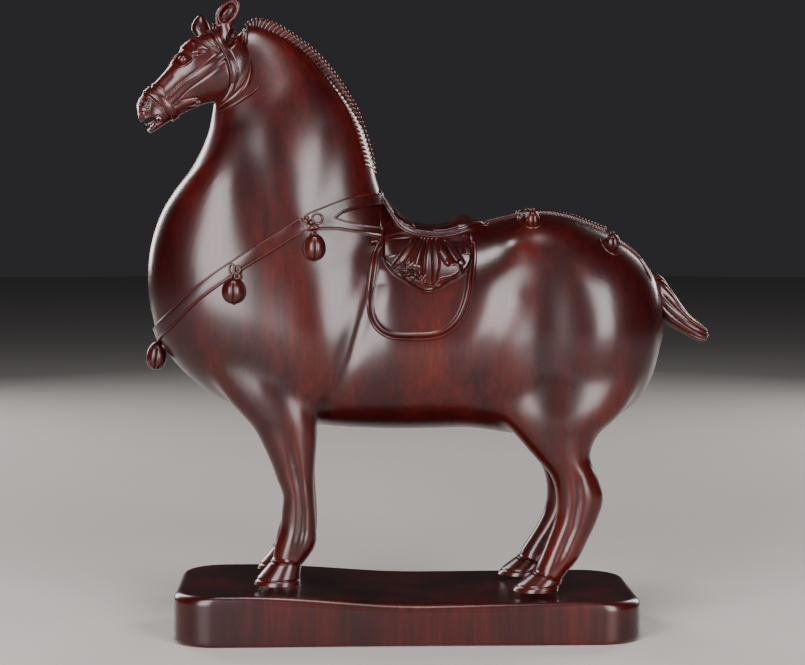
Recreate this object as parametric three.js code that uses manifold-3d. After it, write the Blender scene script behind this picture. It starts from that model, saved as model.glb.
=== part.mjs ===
// Carved wooden horse standing square on a rounded plinth, in millimetres.
// The horse faces -X, its left flank is towards -Y and +Z is up.
// The origin lies under the middle of the plinth.
import * as THREE from "three";
import { mergeVertices } from "three/addons/utils/BufferGeometryUtils.js";
import Module from "manifold-3d";

const wasm = await Module();
wasm.setup();

// Rounded base with a top that rises a little under the forelegs.
const plinthLength = 275;
const plinthDepth = 112;
const plinthHeight = 24.7;
const plinthHeadRise = 4.8;
const plinthCorner = 24;
const plinthTopRound = 5.5;
const plinthFootRound = 2.5;
const padHeight = 2.2;
const padMargin = 1.6;
const padBevel = 0.6;
const padRoot = 4;
const standGap = 0.3;
const plinthRise = { from: -10, to: 100 };
const plinthSideShares = [0.65, 0.35, 0, -0.35, -0.65];
const plinthTopInsets = [24, 50];

// Side outline of neck and trunk, head end first.
// Each row is the back line x and z, the throat or belly line x and z, half the width,
// and the narrowing of the back.
const trunkRows = [
  [-102, 353, -113, 325, 12, 0.1],
  [-92, 360.5, -114, 315, 15, 0.2],
  [-75.5, 355.5, -117, 299, 19, 0.25],
  [-60, 345, -122, 286.5, 23, 0.25],
  [-48, 333, -128.5, 275, 27, 0.22],
  [-36.5, 318.5, -137, 264, 31, 0.2],
  [-27.5, 303, -145, 251, 34.5, 0.18],
  [-21.5, 286, -150.5, 236, 37.5, 0.15],
  [-17.5, 270, -153.2, 221, 40, 0.13],
  [-13, 258, -153.6, 206, 42, 0.1],
  [-8.4, 249, -151.5, 190, 43.5, 0.08],
  [-2, 243.5, -146, 173, 44.5, 0.06],
  [6, 241.5, -132, 155, 45.3, 0.05],
  [14.4, 240.5, -110, 139, 45.8, 0.05],
  [24, 240.4, -81.5, 128, 46, 0.06],
  [34.5, 241.2, -45.5, 123, 46, 0.08],
  [45.6, 243.6, -12.5, 121.2, 46, 0.08],
  [57.6, 246.6, 14.5, 121.2, 46, 0.06],
  [71.4, 249.2, 38.4, 121.4, 46.2, 0.03],
  [85.2, 249.6, 59.4, 118.6, 46.4, 0],
  [98.4, 247.2, 77.4, 116.2, 46, 0],
  [111.6, 242.4, 93.6, 116.2, 44.5, 0],
  [123.6, 237, 108, 119.5, 42, 0],
  [134.4, 229.8, 120.6, 124.5, 38, 0],
  [143.2, 220.6, 132, 131.4, 32.5, 0],
  [149.2, 210.5, 141.6, 140.4, 25.5, 0],
  [153, 199, 148.2, 153, 16.5, 0],
];
const trunkTip = [155.4, 178];
// How full the sides are between the back line and the belly line, 1 being an ellipse.
const sideFullness = 0.88;
// Where the trunk is drawn in behind the shoulder and in front of the haunch: middle x and z,
// reach along x and z, and the share of the width that goes.
const waists = [
  { x: -31, z: 196, reachX: 15, reachZ: 44, share: 0.085 },
  { x: 77, z: 190, reachX: 21, reachZ: 46, share: 0.125 },
];

// Head, drawn straight ahead and then turned to the left about the poll.
const headRows = [
  [-94, 352, -90, 326, 10, 0.05],
  [-106, 357.5, -96, 321, 12, 0.05],
  [-118, 356.5, -103, 318, 13, 0.0],
  [-127, 352.5, -111, 316.5, 13, -0.06],
  [-133.5, 346.8, -119, 314.8, 12.2, -0.12],
  [-139.5, 338.3, -127, 312.3, 10, -0.12],
  [-146, 330.4, -136, 308.3, 8.2, -0.05],
  [-152, 323.9, -143.5, 304.3, 7.3, 0.05],
  [-157, 319, -148.5, 300.8, 7.1, 0.1],
  [-160.5, 313.5, -152.5, 298.3, 6, 0.1],
];
const headTip = [-159.5, 304.5];
const poll = [-104, -1, 345];
const headTurn = 16;
const mouthCorner = [-144.3, 307.2];
const mouthOpening = [
  [-163, 302.9],
  [-158, 297.2],
];
const mouthReach = 14;
// Eye, nostril and bridle on the head, each by x and z on its left side.
const eye = { at: [-134.8, 340], along: [-0.72, 0, -0.69] };
const eyeBrow = { out: -2.2, radius: 4.2, length: 10.5 };
const eyeBall = { out: 0.9, radius: 1.9, length: 4.6 };
const nostril = { at: [-156.2, 313.2], along: [-0.4, 0, 1], out: 1.4, radius: 1.5, length: 4.4 };
const bridleLift = 1.2;
const bridleBury = 1.6;
const bridleBevel = 0.4;
const noseband = { place: 6.9, tilt: -0.1, width: 3.6 };
const cheekpiece = {
  width: 4.4,
  path: [
    [-148.6, 313.6],
    [-137, 322],
    [-125, 330],
    [-110, 338.5],
  ],
};
const crownStrap = {
  width: 3.8,
  path: [
    [-117, 353.5],
    [-111, 345],
    [-104.5, 335],
    [-103.5, 322.5],
  ],
};

// Legs, front edge x and z, back edge x and z, middle y, half the thickness.
const foreLegRows = [
  [-118, 158, -58, 168, 24, 14],
  [-108, 143, -55, 148, 24.5, 15],
  [-97, 131, -53.2, 134, 25, 14],
  [-89.5, 122.5, -52.8, 124, 25.3, 12.6],
  [-81, 105, -54, 106, 25.6, 10.8],
  [-77, 94, -54.8, 95, 25.8, 9.7],
  [-73.6, 84.5, -54.6, 84.5, 26, 9.2],
  [-74, 75, -54, 75, 26.2, 8.6],
  [-75, 65, -53.6, 64.5, 26.4, 8.4],
  [-77.4, 57, -54, 55.5, 26.6, 8.8],
  [-79, 50.5, -58, 48.5, 26.8, 8.6],
];
const foreHoofRows = [
  [-80, 46.8, -61.4, 45.8, 27, 9.2],
  [-82, 43.6, -62, 43.4, 27, 10],
  [-87.8, 36.4, -62.4, 36.6, 27, 12],
  [-90, 32.1, -62.4, 32.1, 27, 12.8],
];
const hindLegRows = [
  [44, 152, 142, 158, 22, 18],
  [54, 130, 129, 134, 23.5, 18.5],
  [65, 117.5, 113, 119, 25, 15.5],
  [76, 105.5, 108.2, 106, 26, 12.6],
  [84.6, 95, 112.6, 93.5, 26.4, 11],
  [87.8, 84, 115.8, 81.5, 26.8, 10.2],
  [87.6, 71.5, 112.6, 69.5, 27, 9.4],
  [83.4, 58.5, 106.8, 57, 27.2, 8.9],
  [79, 47.5, 101.5, 46.5, 27.4, 9],
  [76.6, 42, 95, 38.6, 27.5, 9],
];
const hindHoofRows = [
  [75.6, 38.8, 91.4, 34, 27.6, 9.6],
  [72.4, 36.6, 91.6, 32.4, 27.6, 10.6],
  [65.4, 31, 90, 29.8, 27.6, 12.4],
  [63, 27.5, 89.6, 27.5, 27.6, 12.8],
];
// The right hind foot stands this far ahead of the left one, shared out from the hock height to the ground.
const farHindStep = 4.5;
const hindPastern = 66;
const hindStepReach = 38;

// Short tail, upper edge x and z, lower edge x and z, half the width.
const tailRows = [
  [146, 211, 148, 193, 5.4],
  [153.5, 210.6, 151.8, 190, 6.6],
  [159.6, 204.4, 157, 183.6, 7],
  [165, 196.4, 164, 179, 7],
  [170.6, 189.4, 170, 176, 6.6],
  [176.6, 184.6, 175.8, 173.2, 5.8],
  [181, 181, 180, 172.6, 4.4],
];
const tailTip = [183.2, 176.4];
const tailStrands = 8;
const tailGroove = 0.1;

// Clipped mane, its outer edge from the poll down to the withers.
const maneEdge = [
  [-95, 363.5],
  [-88, 366],
  [-77, 363],
  [-62.5, 354],
  [-51, 344.4],
  [-39.4, 330.4],
  [-29.2, 314],
  [-23.4, 299],
  [-19, 284],
  [-17.6, 275],
];
const maneRibs = 44;
const maneHalfWidth = 2.9;
const maneRibDepth = 0.55;
const maneRoot = { depth: 9, least: 1 };
const maneTopShare = 0.7;
const maneFlare = 0.8;
const maneSlopeStep = 0.01;
const maneTaper = { start: 0.35, poll: 6, withers: 5 };

// Ears, front edge x and z, back edge x and z, middle y, half the depth.
const nearEarRows = [
  [-114.5, 345, -96.5, 343.5, -7.5, 5.4],
  [-113, 351, -97, 349.5, -8, 4.8],
  [-111, 356, -99.4, 355, -8.5, 4.2],
  [-111, 360.4, -102, 359.8, -9, 3.7],
  [-112.2, 365.6, -100.2, 364.2, -9.5, 4],
  [-110.4, 370.2, -98.7, 368.6, -9.9, 3.6],
  [-106, 373.8, -98.4, 372, -10.3, 2.6],
];
const nearEarTip = [-99.6, -10.6, 375.6];
const nearEarOpening = [0, -1, 0];
const farEarRows = [
  [-122, 349, -110, 345, 5.6, 5],
  [-125, 354.4, -113.6, 351.6, 6.4, 4.6],
  [-127.6, 359.6, -115.6, 357.2, 7.2, 4.2],
  [-126.6, 364, -117.2, 362.2, 7.9, 3.6],
  [-124.2, 367.4, -119.8, 366.6, 8.6, 2.2],
];
const farEarTip = [-122, 9, 369.4];
const farEarOpening = [-0.86, -0.5, 0];
// The hollow of an ear: the shares of the length it runs between, its share of the width
// and how far out it sits.
const earHollow = { from: 0.42, to: 0.96, share: 0.66, shift: 0.95 };

// Harness on the left flank, given as x and z on the skin. The right flank mirrors it.
const strapLift = 1.9;
const strapBury = 2;
const strapBevel = 0.5;
const collarWidth = 7.8;
const collarPath = [
  [-54.6, 245.5],
  [-68, 239.6],
  [-94, 223],
  [-123.4, 202.4],
  [-136.5, 189.6],
  [-145.6, 178],
];
const upperBranchWidth = 6.8;
const upperBranchPath = [
  [-54.6, 245.5],
  [-44, 251.4],
  [-30, 256.6],
  [-15, 258.6],
];
const lowerBranchWidth = 5.6;
const lowerBranchPath = [
  [-54.6, 244.5],
  [-42, 243],
  [-30, 242],
  [-15, 239.4],
];
// Shares of the turn from the end of the path to the middle of the chest.
const chestShares = [0.35, 0.7, 1];
const crupperWidth = 5;
const crupperEnd = { share: 0.25, growth: 5 };
const crupperLift = 1.5;
const crupperPath = [
  [46, 243.7],
  [57.6, 246.6],
  [71.4, 249.2],
  [85.2, 249.6],
  [98.4, 247.2],
  [111.6, 242.4],
  [123.6, 237],
  [134.4, 229.8],
  [143.2, 220.6],
  [148.6, 211.6],
];

// Round bells, x and z on the skin, radius, length and how far the middle stands out of the skin.
const bells = [
  { at: [-100.6, 206.4], radius: 6.8, length: 14, out: 3.6 },
  { at: [-54, 231.6], radius: 6, length: 16, out: 3.4 },
  { at: [72.6, 246.2], radius: 4.9, length: 10.6, out: 2 },
  { at: [120, 232.6], radius: 4.9, length: 10.6, out: 2.2 },
];
const chestBell = {
  middle: [-149, 0, 165],
  lean: 0.14,
  radius: 6,
  length: 17.4,
  stem: { middle: [-144.5, 0, 170.5], along: [1, 0, 0.5], radius: 3, length: 12 },
};

// Saddle flap, its lower corners turning at a height, with a raised rim.
// Shares run from the middle to the edge.
const flap = {
  middle: 7.4,
  halfWidth: 31,
  bottom: 176.4,
  turn: 204,
  top: 239,
  topShift: 4,
  lift: 1.3,
  rimLift: 2.5,
  rimShare: 0.9,
  centre: [9.4, 210],
  shares: [0.5, 0.86, 0.93, 1],
  squareness: { sides: 0.62, top: 0.35, bottom: 0.85 },
};
// Apron under the seat and the fanned cloth on it.
const apron = { middle: 12.4, top: 237, halfWidth: 29, drop: 33, lift: 3.6, centreDrop: 10 };
const fan = {
  middle: 12.4,
  top: 236.5,
  halfWidth: 20,
  drop: 27,
  lift: 5.4,
  centreDrop: 2,
  folds: 5,
  foldDepth: 1.3,
  scallopOut: 1.6,
  scallopIn: -1.2,
};
const plateShares = [0.45, 0.8, 1];
const hangingFullness = 0.9;
// Seat, middle line x and z, left rim x and z, rim half width.
const seatSink = 5;
const seatRise = 1.15;
const seatRows = [
  [-16, 265.6, -13.6, 257.4, 11],
  [-9.6, 255.4, -9.6, 248.6, 17],
  [-3.6, 249.8, -4.8, 241.6, 20.5],
  [4.2, 245.6, 2, 237.6, 22.6],
  [14.4, 243.8, 12, 235.6, 23.6],
  [24, 245.2, 24, 235.8, 23.8],
  [33.6, 249.4, 36, 239.4, 22],
  [41.4, 247.4, 43, 241.6, 17],
  [47.6, 244, 48, 241.8, 8],
];

const hide = { color: 0x3a1612, roughness: 0.32, metalness: 0 };
const base = { color: 0x34130f, roughness: 0.36, metalness: 0 };

// Facets: steps along a form and points around it.
const facets = {
  trunk: [26, 18],
  head: [11, 12],
  limb: [10, 9],
  hoof: [2, 9],
  pad: 10,
  ear: 8,
  tail: 7,
  collar: 9,
  branch: 4,
  bridle: 4,
  noseband: 10,
  flap: 22,
  apron: 14,
  seat: [10, 6],
  bell: [5, 8],
  bead: [4, 6],
  plinthCorner: 5,
  footRound: 2,
  topRound: 3,
};

// How closely a skin point is found along the rows, and the step that gives the skin's slope there.
const placeError = 1e-9;
const slopeStep = 0.02;

const vector = (x, y, z) => new THREE.Vector3(x, y, z);
const turnAt = (step, count) => (2 * Math.PI * step) / count;

// A closed solid from points and faces, turned to face outwards.
function closedSolid(points, faces) {
  let volume = 0;
  for (const [a, b, c] of faces) volume += points[a].dot(points[b].clone().cross(points[c]));
  const order = volume < 0 ? [0, 2, 1] : [0, 1, 2];
  return new wasm.Manifold(
    new wasm.Mesh({
      numProp: 3,
      vertProperties: new Float32Array(points.flatMap((point) => point.toArray())),
      triVerts: new Uint32Array(faces.flatMap((face) => order.map((corner) => face[corner]))),
    }),
  );
}

// A closed solid between rings of equal point count, with both ends drawn to a point.
function skinned(rings, startPoint, endPoint) {
  const around = rings[0].length;
  const points = [startPoint, ...rings.flat(), endPoint];
  const faces = [];
  const at = (ring, step) => 1 + ring * around + (step % around);
  for (let step = 0; step < around; step++) {
    faces.push([0, at(0, step + 1), at(0, step)]);
    faces.push([points.length - 1, at(rings.length - 1, step), at(rings.length - 1, step + 1)]);
    for (let ring = 0; ring + 1 < rings.length; ring++) {
      faces.push([at(ring, step), at(ring, step + 1), at(ring + 1, step + 1)]);
      faces.push([at(ring, step), at(ring + 1, step + 1), at(ring + 1, step)]);
    }
  }
  return closedSolid(points, faces);
}

function middleOf(points) {
  const sum = points.reduce((total, point) => total.add(point), vector(0, 0, 0));
  return sum.divideScalar(points.length);
}

const cappedLoft = (rings) => skinned(rings, middleOf(rings[0]), middleOf(rings[rings.length - 1]));

// Smooth curve through rows of numbers. The place counts rows from 0.
function alongRows(rows, place) {
  const last = rows.length - 1;
  const start = Math.min(Math.max(Math.floor(place), 0), last - 1);
  const t = place - start;
  const pick = (index) => rows[Math.min(Math.max(index, 0), last)];
  const [before, from, to, after] = [pick(start - 1), pick(start), pick(start + 1), pick(start + 2)];
  return from.map((value, column) => {
    const leave = (to[column] - before[column]) / 2;
    const arrive = (after[column] - value) / 2;
    const rise = to[column] - value;
    return value + t * (leave + t * (3 * rise - 2 * leave - arrive + t * (leave + arrive - 2 * rise)));
  });
}

// Value between the two sides of a section, 1 at the first and -1 at the second.
const between = (first, second, height) => (first + second) / 2 + (height * (first - second)) / 2;

// The share of the width left where the trunk is drawn in.
function waistShare(x, z) {
  const drawnIn = waists.map((waist) => {
    const along = ((x - waist.x) / waist.reachX) ** 2;
    const upward = ((z - waist.z) / waist.reachZ) ** 4;
    return waist.share * Math.exp(-along - upward);
  });
  return 1 - drawnIn.reduce((total, share) => total + share, 0);
}

// Surface of a body drawn from side outline rows. Turn 0 is the upper line, half a turn is the lower line.
function surfaceAt(rows, place, turn) {
  const [topX, topZ, lowX, lowZ, halfWidth, narrow] = alongRows(rows, place);
  const height = Math.cos(turn);
  const fullness = Math.sign(Math.sin(turn)) * Math.abs(Math.sin(turn)) ** sideFullness;
  const x = between(topX, lowX, height);
  const z = between(topZ, lowZ, height);
  return vector(x, -halfWidth * fullness * (1 - narrow * height) * waistShare(x, z), z);
}

function outlineBody(rows, tip, [steps, around]) {
  const rings = [];
  for (let step = 0; step <= steps; step++) {
    const place = ((rows.length - 1) * step) / steps;
    rings.push(Array.from({ length: around }, (_, index) => surfaceAt(rows, place, turnAt(index, around))));
  }
  return skinned(rings, middleOf(rings[0]), vector(tip[0], 0, tip[1]));
}

// The row and turn of the left skin point that is seen at x and z from the side.
function skinPlace(rows, x, z) {
  const offLine = (place) => {
    const [topX, topZ, lowX, lowZ] = alongRows(rows, place);
    return (lowX - topX) * (z - topZ) - (lowZ - topZ) * (x - topX);
  };
  let low = 0;
  let high = rows.length - 1;
  const startSide = Math.sign(offLine(low));
  while (high - low > placeError) {
    const half = (low + high) / 2;
    if (Math.sign(offLine(half)) === startSide) low = half;
    else high = half;
  }
  const [topX, topZ, lowX, lowZ] = alongRows(rows, low);
  const reach = (topX - lowX) ** 2 + (topZ - lowZ) ** 2;
  const along = ((2 * x - topX - lowX) * (topX - lowX) + (2 * z - topZ - lowZ) * (topZ - lowZ)) / reach;
  return { place: low, turn: Math.acos(Math.min(Math.max(along, -1), 1)) };
}

// Skin point and outward normal at a place and turn.
function skinFrame(rows, place, turn) {
  const point = surfaceAt(rows, place, turn);
  const alongBody = surfaceAt(rows, place + slopeStep, turn).sub(surfaceAt(rows, place - slopeStep, turn));
  const aroundBody = surfaceAt(rows, place, turn + slopeStep).sub(surfaceAt(rows, place, turn - slopeStep));
  const normal = alongBody.cross(aroundBody).normalize();
  const middle = surfaceAt(rows, place, 0).add(surfaceAt(rows, place, Math.PI)).multiplyScalar(0.5);
  if (normal.dot(point.clone().sub(middle)) < 0) normal.negate();
  return { point, normal };
}

function skinFrameAt(rows, x, z) {
  const { place, turn } = skinPlace(rows, x, z);
  return skinFrame(rows, place, turn);
}

// Sections of a flat strap with bevelled edges over frames of point and normal.
function strapSections(frames, width, lift, bury, bevel, closed) {
  const count = frames.length;
  return frames.map(({ point, normal }, index) => {
    const next = frames[closed ? (index + 1) % count : Math.min(index + 1, count - 1)].point;
    const previous = frames[closed ? (index + count - 1) % count : Math.max(index - 1, 0)].point;
    const across = next.clone().sub(previous).cross(normal).normalize();
    const half = (typeof width === "function" ? width(index / (count - 1)) : width) / 2;
    const corner = (side, height) =>
      point.clone().addScaledVector(across, side).addScaledVector(normal, height);
    const shoulder = half - bevel;
    return [corner(-half, -bury), corner(-shoulder, lift), corner(shoulder, lift), corner(half, -bury)];
  });
}

function strap(frames, width, lift, bury = strapBury, bevel = strapBevel) {
  return cappedLoft(strapSections(frames, width, lift, bury, bevel, false));
}

// A strap that closes on itself.
function ringStrap(frames, width, lift, bury, bevel) {
  const points = strapSections(frames, width, lift, bury, bevel, true).flat();
  const corners = points.length / frames.length;
  const faces = [];
  const at = (ring, step) => (ring % frames.length) * corners + (step % corners);
  for (let ring = 0; ring < frames.length; ring++) {
    for (let step = 0; step < corners; step++) {
      faces.push([at(ring, step), at(ring, step + 1), at(ring + 1, step + 1)]);
      faces.push([at(ring, step), at(ring + 1, step + 1), at(ring + 1, step)]);
    }
  }
  return closedSolid(points, faces);
}

function sidePath(rows, path, steps) {
  return Array.from({ length: steps + 1 }, (_, step) => {
    const [x, z] = alongRows(path, ((path.length - 1) * step) / steps);
    return skinFrameAt(rows, x, z);
  });
}

// An egg along an axis, with its middle, radius and length.
function egg(middle, axis, radius, length, [steps, around] = facets.bell) {
  const direction = axis.clone().normalize();
  const across = direction.clone().cross(vector(0, 1, 0)).normalize();
  const up = direction.clone().cross(across);
  const rings = [];
  for (let step = 1; step < steps; step++) {
    const angle = (Math.PI * step) / steps;
    const centre = middle.clone().addScaledVector(direction, (-Math.cos(angle) * length) / 2);
    rings.push(
      Array.from({ length: around }, (_, index) => {
        const turn = turnAt(index, around);
        return centre
          .clone()
          .addScaledVector(across, Math.cos(turn) * Math.sin(angle) * radius)
          .addScaledVector(up, Math.sin(turn) * Math.sin(angle) * radius);
      }),
    );
  }
  const end = direction.multiplyScalar(length / 2);
  return skinned(rings, middle.clone().sub(end), middle.clone().add(end));
}

const mirrored = (solid) => solid.mirror([0, 1, 0]);

// Joins solids and fills the small voids closed in between them.
function joined(solids) {
  const shells = solids.reduce((whole, solid) => whole.add(solid)).decompose();
  const bodies = shells.filter((shell) => shell.volume() > 0);
  if (bodies.length !== 1) throw new Error("the pieces don't all touch: " + bodies.length + " bodies");
  return bodies[0];
}

// Leg from rows of front edge, back edge, middle y and half thickness. The side is -1 for the left leg.
function legRings(rows, [steps, around], side, stepForward) {
  const stepShare = (z) => THREE.MathUtils.smoothstep(hindPastern - z, 0, hindPastern - hindStepReach);
  return Array.from({ length: steps + 1 }, (_, step) => {
    const row = alongRows(rows, ((rows.length - 1) * step) / steps);
    const [frontX, frontZ, backX, backZ, middleY, half] = row;
    return Array.from({ length: around }, (_, index) => {
      const turn = turnAt(index + 0.5, around);
      const height = Math.cos(turn);
      const z = between(backZ, frontZ, height);
      const x = between(backX, frontX, height) - stepForward * stepShare(z);
      return vector(x, side * (middleY + Math.sin(turn) * half), z);
    });
  });
}

function leg(legRows, hoofRows, side, stepForward = 0) {
  const limb = cappedLoft(legRings(legRows.concat([hoofRows[0]]), facets.limb, side, stepForward));
  return limb.add(cappedLoft(legRings(hoofRows, facets.hoof, side, stepForward)));
}

// Hoof outline on the plinth, widened to carry the pad.
function soleRing(hoofRows, side, stepForward, margin, z) {
  const [frontX, , backX, , middleY, half] = hoofRows[hoofRows.length - 1];
  return Array.from({ length: facets.pad }, (_, index) => {
    const turn = turnAt(index, facets.pad);
    return vector(
      (frontX + backX) / 2 - stepForward + Math.cos(turn) * ((backX - frontX) / 2 + margin),
      side * middleY + Math.sin(turn) * (half + margin),
      z,
    );
  });
}

// Ear from rows of front edge, back edge, middle y and half depth, scooped out on the side it opens to.
function earSolid(rows, tip, opening) {
  const outward = vector(...opening).normalize();
  const last = rows.length - 1;
  const leaf = (from, to, share, shift, end) => {
    const rings = rows.map((_, step) => {
      const row = alongRows(rows, last * (from + ((to - from) * step) / last));
      const [frontX, frontZ, backX, backZ, middleY, half] = row;
      return Array.from({ length: facets.ear }, (_, index) => {
        const turn = turnAt(index, facets.ear);
        const height = Math.cos(turn) * share;
        const y = middleY + Math.sin(turn) * half;
        return vector(between(backX, frontX, height), y, between(backZ, frontZ, height)).addScaledVector(
          outward,
          shift * half,
        );
      });
    });
    return skinned(rings, middleOf(rings[0]), end || middleOf(rings[last]));
  };
  const { from, to, share, shift } = earHollow;
  return leaf(0, 1, 1, 0, vector(...tip)).subtract(leaf(from, to, share, shift));
}

function maneSolid() {
  const rings = [];
  const steps = maneRibs * 2;
  const last = maneEdge.length - 1;
  for (let step = 0; step <= steps; step++) {
    const t = step / steps;
    const [x, z] = alongRows(maneEdge, t * last);
    const [nextX, nextZ] = alongRows(maneEdge, Math.min(t + maneSlopeStep, 1) * last);
    const [pastX, pastZ] = alongRows(maneEdge, Math.max(t - maneSlopeStep, 0) * last);
    const inward = vector(nextZ - pastZ, 0, pastX - nextX).normalize();
    const groove = step % 2 ? maneRibDepth : 0;
    const { start, poll: pollGrowth, withers } = maneTaper;
    const taper = Math.min(1, start + pollGrowth * t, start + withers * (1 - t));
    const half = maneHalfWidth * taper - groove * maneTopShare;
    const place = (depth, side) => vector(x, side, z).addScaledVector(inward, depth);
    const root = maneRoot.depth * taper + maneRoot.least;
    rings.push([
      place(groove, half * maneTopShare),
      place(root, half + maneFlare),
      place(root, -half - maneFlare),
      place(groove, -half * maneTopShare),
    ]);
  }
  return cappedLoft(rings);
}

function tailSolid() {
  const around = tailStrands * 2;
  const rings = Array.from({ length: facets.tail + 1 }, (_, step) => {
    const [topX, topZ, lowX, lowZ, half] = alongRows(tailRows, ((tailRows.length - 1) * step) / facets.tail);
    return Array.from({ length: around }, (_, index) => {
      const turn = turnAt(index, around);
      const groove = index % 2 ? 1 - tailGroove * Math.min(1, step / 2) : 1;
      const height = Math.cos(turn) * groove;
      return vector(between(topX, lowX, height), Math.sin(turn) * half * groove, between(topZ, lowZ, height));
    });
  });
  return skinned(rings, middleOf(rings[0]), vector(tailTip[0], 0, tailTip[1]));
}

// A thin plate on the skin inside an outline. The lift may change from the middle to the edge.
function skinPlate(outline, centre, shares, liftAt) {
  const ring = (share, lift) =>
    outline.map(([x, z], index) => {
      const atX = centre[0] + (x - centre[0]) * share;
      const atZ = centre[1] + (z - centre[1]) * share;
      const { point, normal } = skinFrameAt(trunkRows, atX, atZ);
      return point.addScaledVector(normal, lift(share, index / outline.length));
    });
  return cappedLoft([...shares.map((share) => ring(share, liftAt)), ring(1, () => -strapBury)]);
}

// U shaped outline of the saddle flap, round from its back.
function flapOutline() {
  const { middle, halfWidth, bottom, turn: level, top, topShift, squareness } = flap;
  const bulged = (value, power) => Math.sign(value) * Math.abs(value) ** power;
  return Array.from({ length: facets.flap }, (_, index) => {
    const turn = turnAt(index + 0.5, facets.flap);
    const rising = Math.sin(turn) > 0;
    const sideways = bulged(Math.cos(turn), squareness.sides);
    const upward = bulged(Math.sin(turn), rising ? squareness.top : squareness.bottom);
    const reach = rising ? top - level : level - bottom;
    const shift = rising ? topShift * upward : 0;
    return [middle + shift + sideways * halfWidth, level + upward * reach];
  });
}

// Half round outline hanging from a straight top.
function hangingOutline({ middle, top, halfWidth, drop }, steps) {
  return Array.from({ length: steps + 1 }, (_, index) => {
    const turn = (Math.PI * index) / steps;
    return [middle + Math.cos(turn) * halfWidth, top - Math.sin(turn) ** hangingFullness * drop];
  });
}

function saddleSide() {
  const flapPlate = skinPlate(flapOutline(), flap.centre, flap.shares, (share) =>
    share < flap.rimShare ? flap.lift : flap.rimLift,
  );
  const apronPlate = skinPlate(
    hangingOutline(apron, facets.apron),
    [apron.middle, apron.top - apron.centreDrop],
    plateShares,
    () => apron.lift,
  );
  const quarters = 4;
  const steps = quarters * fan.folds;
  const fanOutline = hangingOutline(fan, steps).map(([x, z], index) => {
    const end = index < 2 || index > steps - 2;
    const scallop = { 0: fan.scallopIn, 2: fan.scallopOut }[index % quarters] || 0;
    return [x, end ? z : z - scallop];
  });
  const fanCentre = [fan.middle, fan.top - fan.centreDrop];
  const fanPlate = skinPlate(fanOutline, fanCentre, plateShares, (share, around) => {
    const fold = Math.cos((2 * Math.PI * around * (steps + 1)) / quarters + Math.PI);
    return fan.lift + fan.foldDepth * fold * share;
  });
  return [flapPlate, apronPlate, fanPlate];
}

function seatSolid() {
  const [steps, across] = facets.seat;
  const rings = Array.from({ length: steps + 1 }, (_, step) => {
    const [midX, midZ, rimX, rimZ, half] = alongRows(seatRows, ((seatRows.length - 1) * step) / steps);
    const arch = (swing, sink) => {
      const raise = Math.cos(swing) ** seatRise;
      const z = rimZ + (midZ - rimZ) * raise - sink;
      return vector(rimX + (midX - rimX) * raise, -half * Math.sin(swing), z);
    };
    const upper = Array.from({ length: across + 1 }, (_, index) => arch(Math.PI * (index / across - 0.5), 0));
    return upper.concat([arch(Math.PI / 2, seatSink), arch(-Math.PI / 2, seatSink)]);
  });
  return cappedLoft(rings);
}

// Collar from the left flank across the chest to the right flank.
function collarSolid() {
  const left = sidePath(trunkRows, collarPath, facets.collar);
  const { place, turn } = skinPlace(trunkRows, ...collarPath[collarPath.length - 1]);
  const [first, second, middle] = chestShares.map((share) =>
    skinFrame(trunkRows, place, turn + (Math.PI - turn) * share),
  );
  const half = left.concat([first, second]);
  const mirrorFrame = ({ point, normal }) => ({
    point: vector(point.x, -point.y, point.z),
    normal: vector(normal.x, -normal.y, normal.z),
  });
  return strap(half.concat([middle], half.slice().reverse().map(mirrorFrame)), collarWidth, strapLift);
}

// Strap along the spine, narrowing where it ends at the tail.
function crupperSolid() {
  const places = crupperPath.map(([x, z]) => vector(x, 0, z));
  const frames = places.map((point, index) => {
    const next = places[Math.min(index + 1, places.length - 1)];
    const previous = places[Math.max(index - 1, 0)];
    const along = next.clone().sub(previous);
    return { point, normal: vector(-along.z, 0, along.x).normalize() };
  });
  const widthAt = (t) => crupperWidth * Math.min(1, crupperEnd.share + crupperEnd.growth * (1 - t));
  return strap(frames, widthAt, crupperLift);
}

function harness() {
  const branch = (path, width) => strap(sidePath(trunkRows, path, facets.branch), width, strapLift);
  const left = [branch(upperBranchPath, upperBranchWidth), branch(lowerBranchPath, lowerBranchWidth)];
  for (const { at, radius, length, out } of bells) {
    const { point, normal } = skinFrameAt(trunkRows, ...at);
    const upward = vector(0, 0, 1).addScaledVector(normal, -normal.z);
    left.push(egg(point.addScaledVector(normal, out), upward, radius, length));
  }
  const { middle, lean, radius, length, stem } = chestBell;
  const chest = egg(vector(...middle), vector(lean, 0, 1), radius, length);
  const chestStem = egg(vector(...stem.middle), vector(...stem.along), stem.radius, stem.length, facets.bead);
  return [collarSolid(), crupperSolid(), chest, chestStem, ...left, ...left.map(mirrored)];
}

const headPlace = new THREE.Matrix4()
  .makeTranslation(...poll)
  .multiply(new THREE.Matrix4().makeRotationZ(THREE.MathUtils.degToRad(headTurn)))
  .multiply(new THREE.Matrix4().makeTranslation(-poll[0], 0, -poll[2]));

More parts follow.
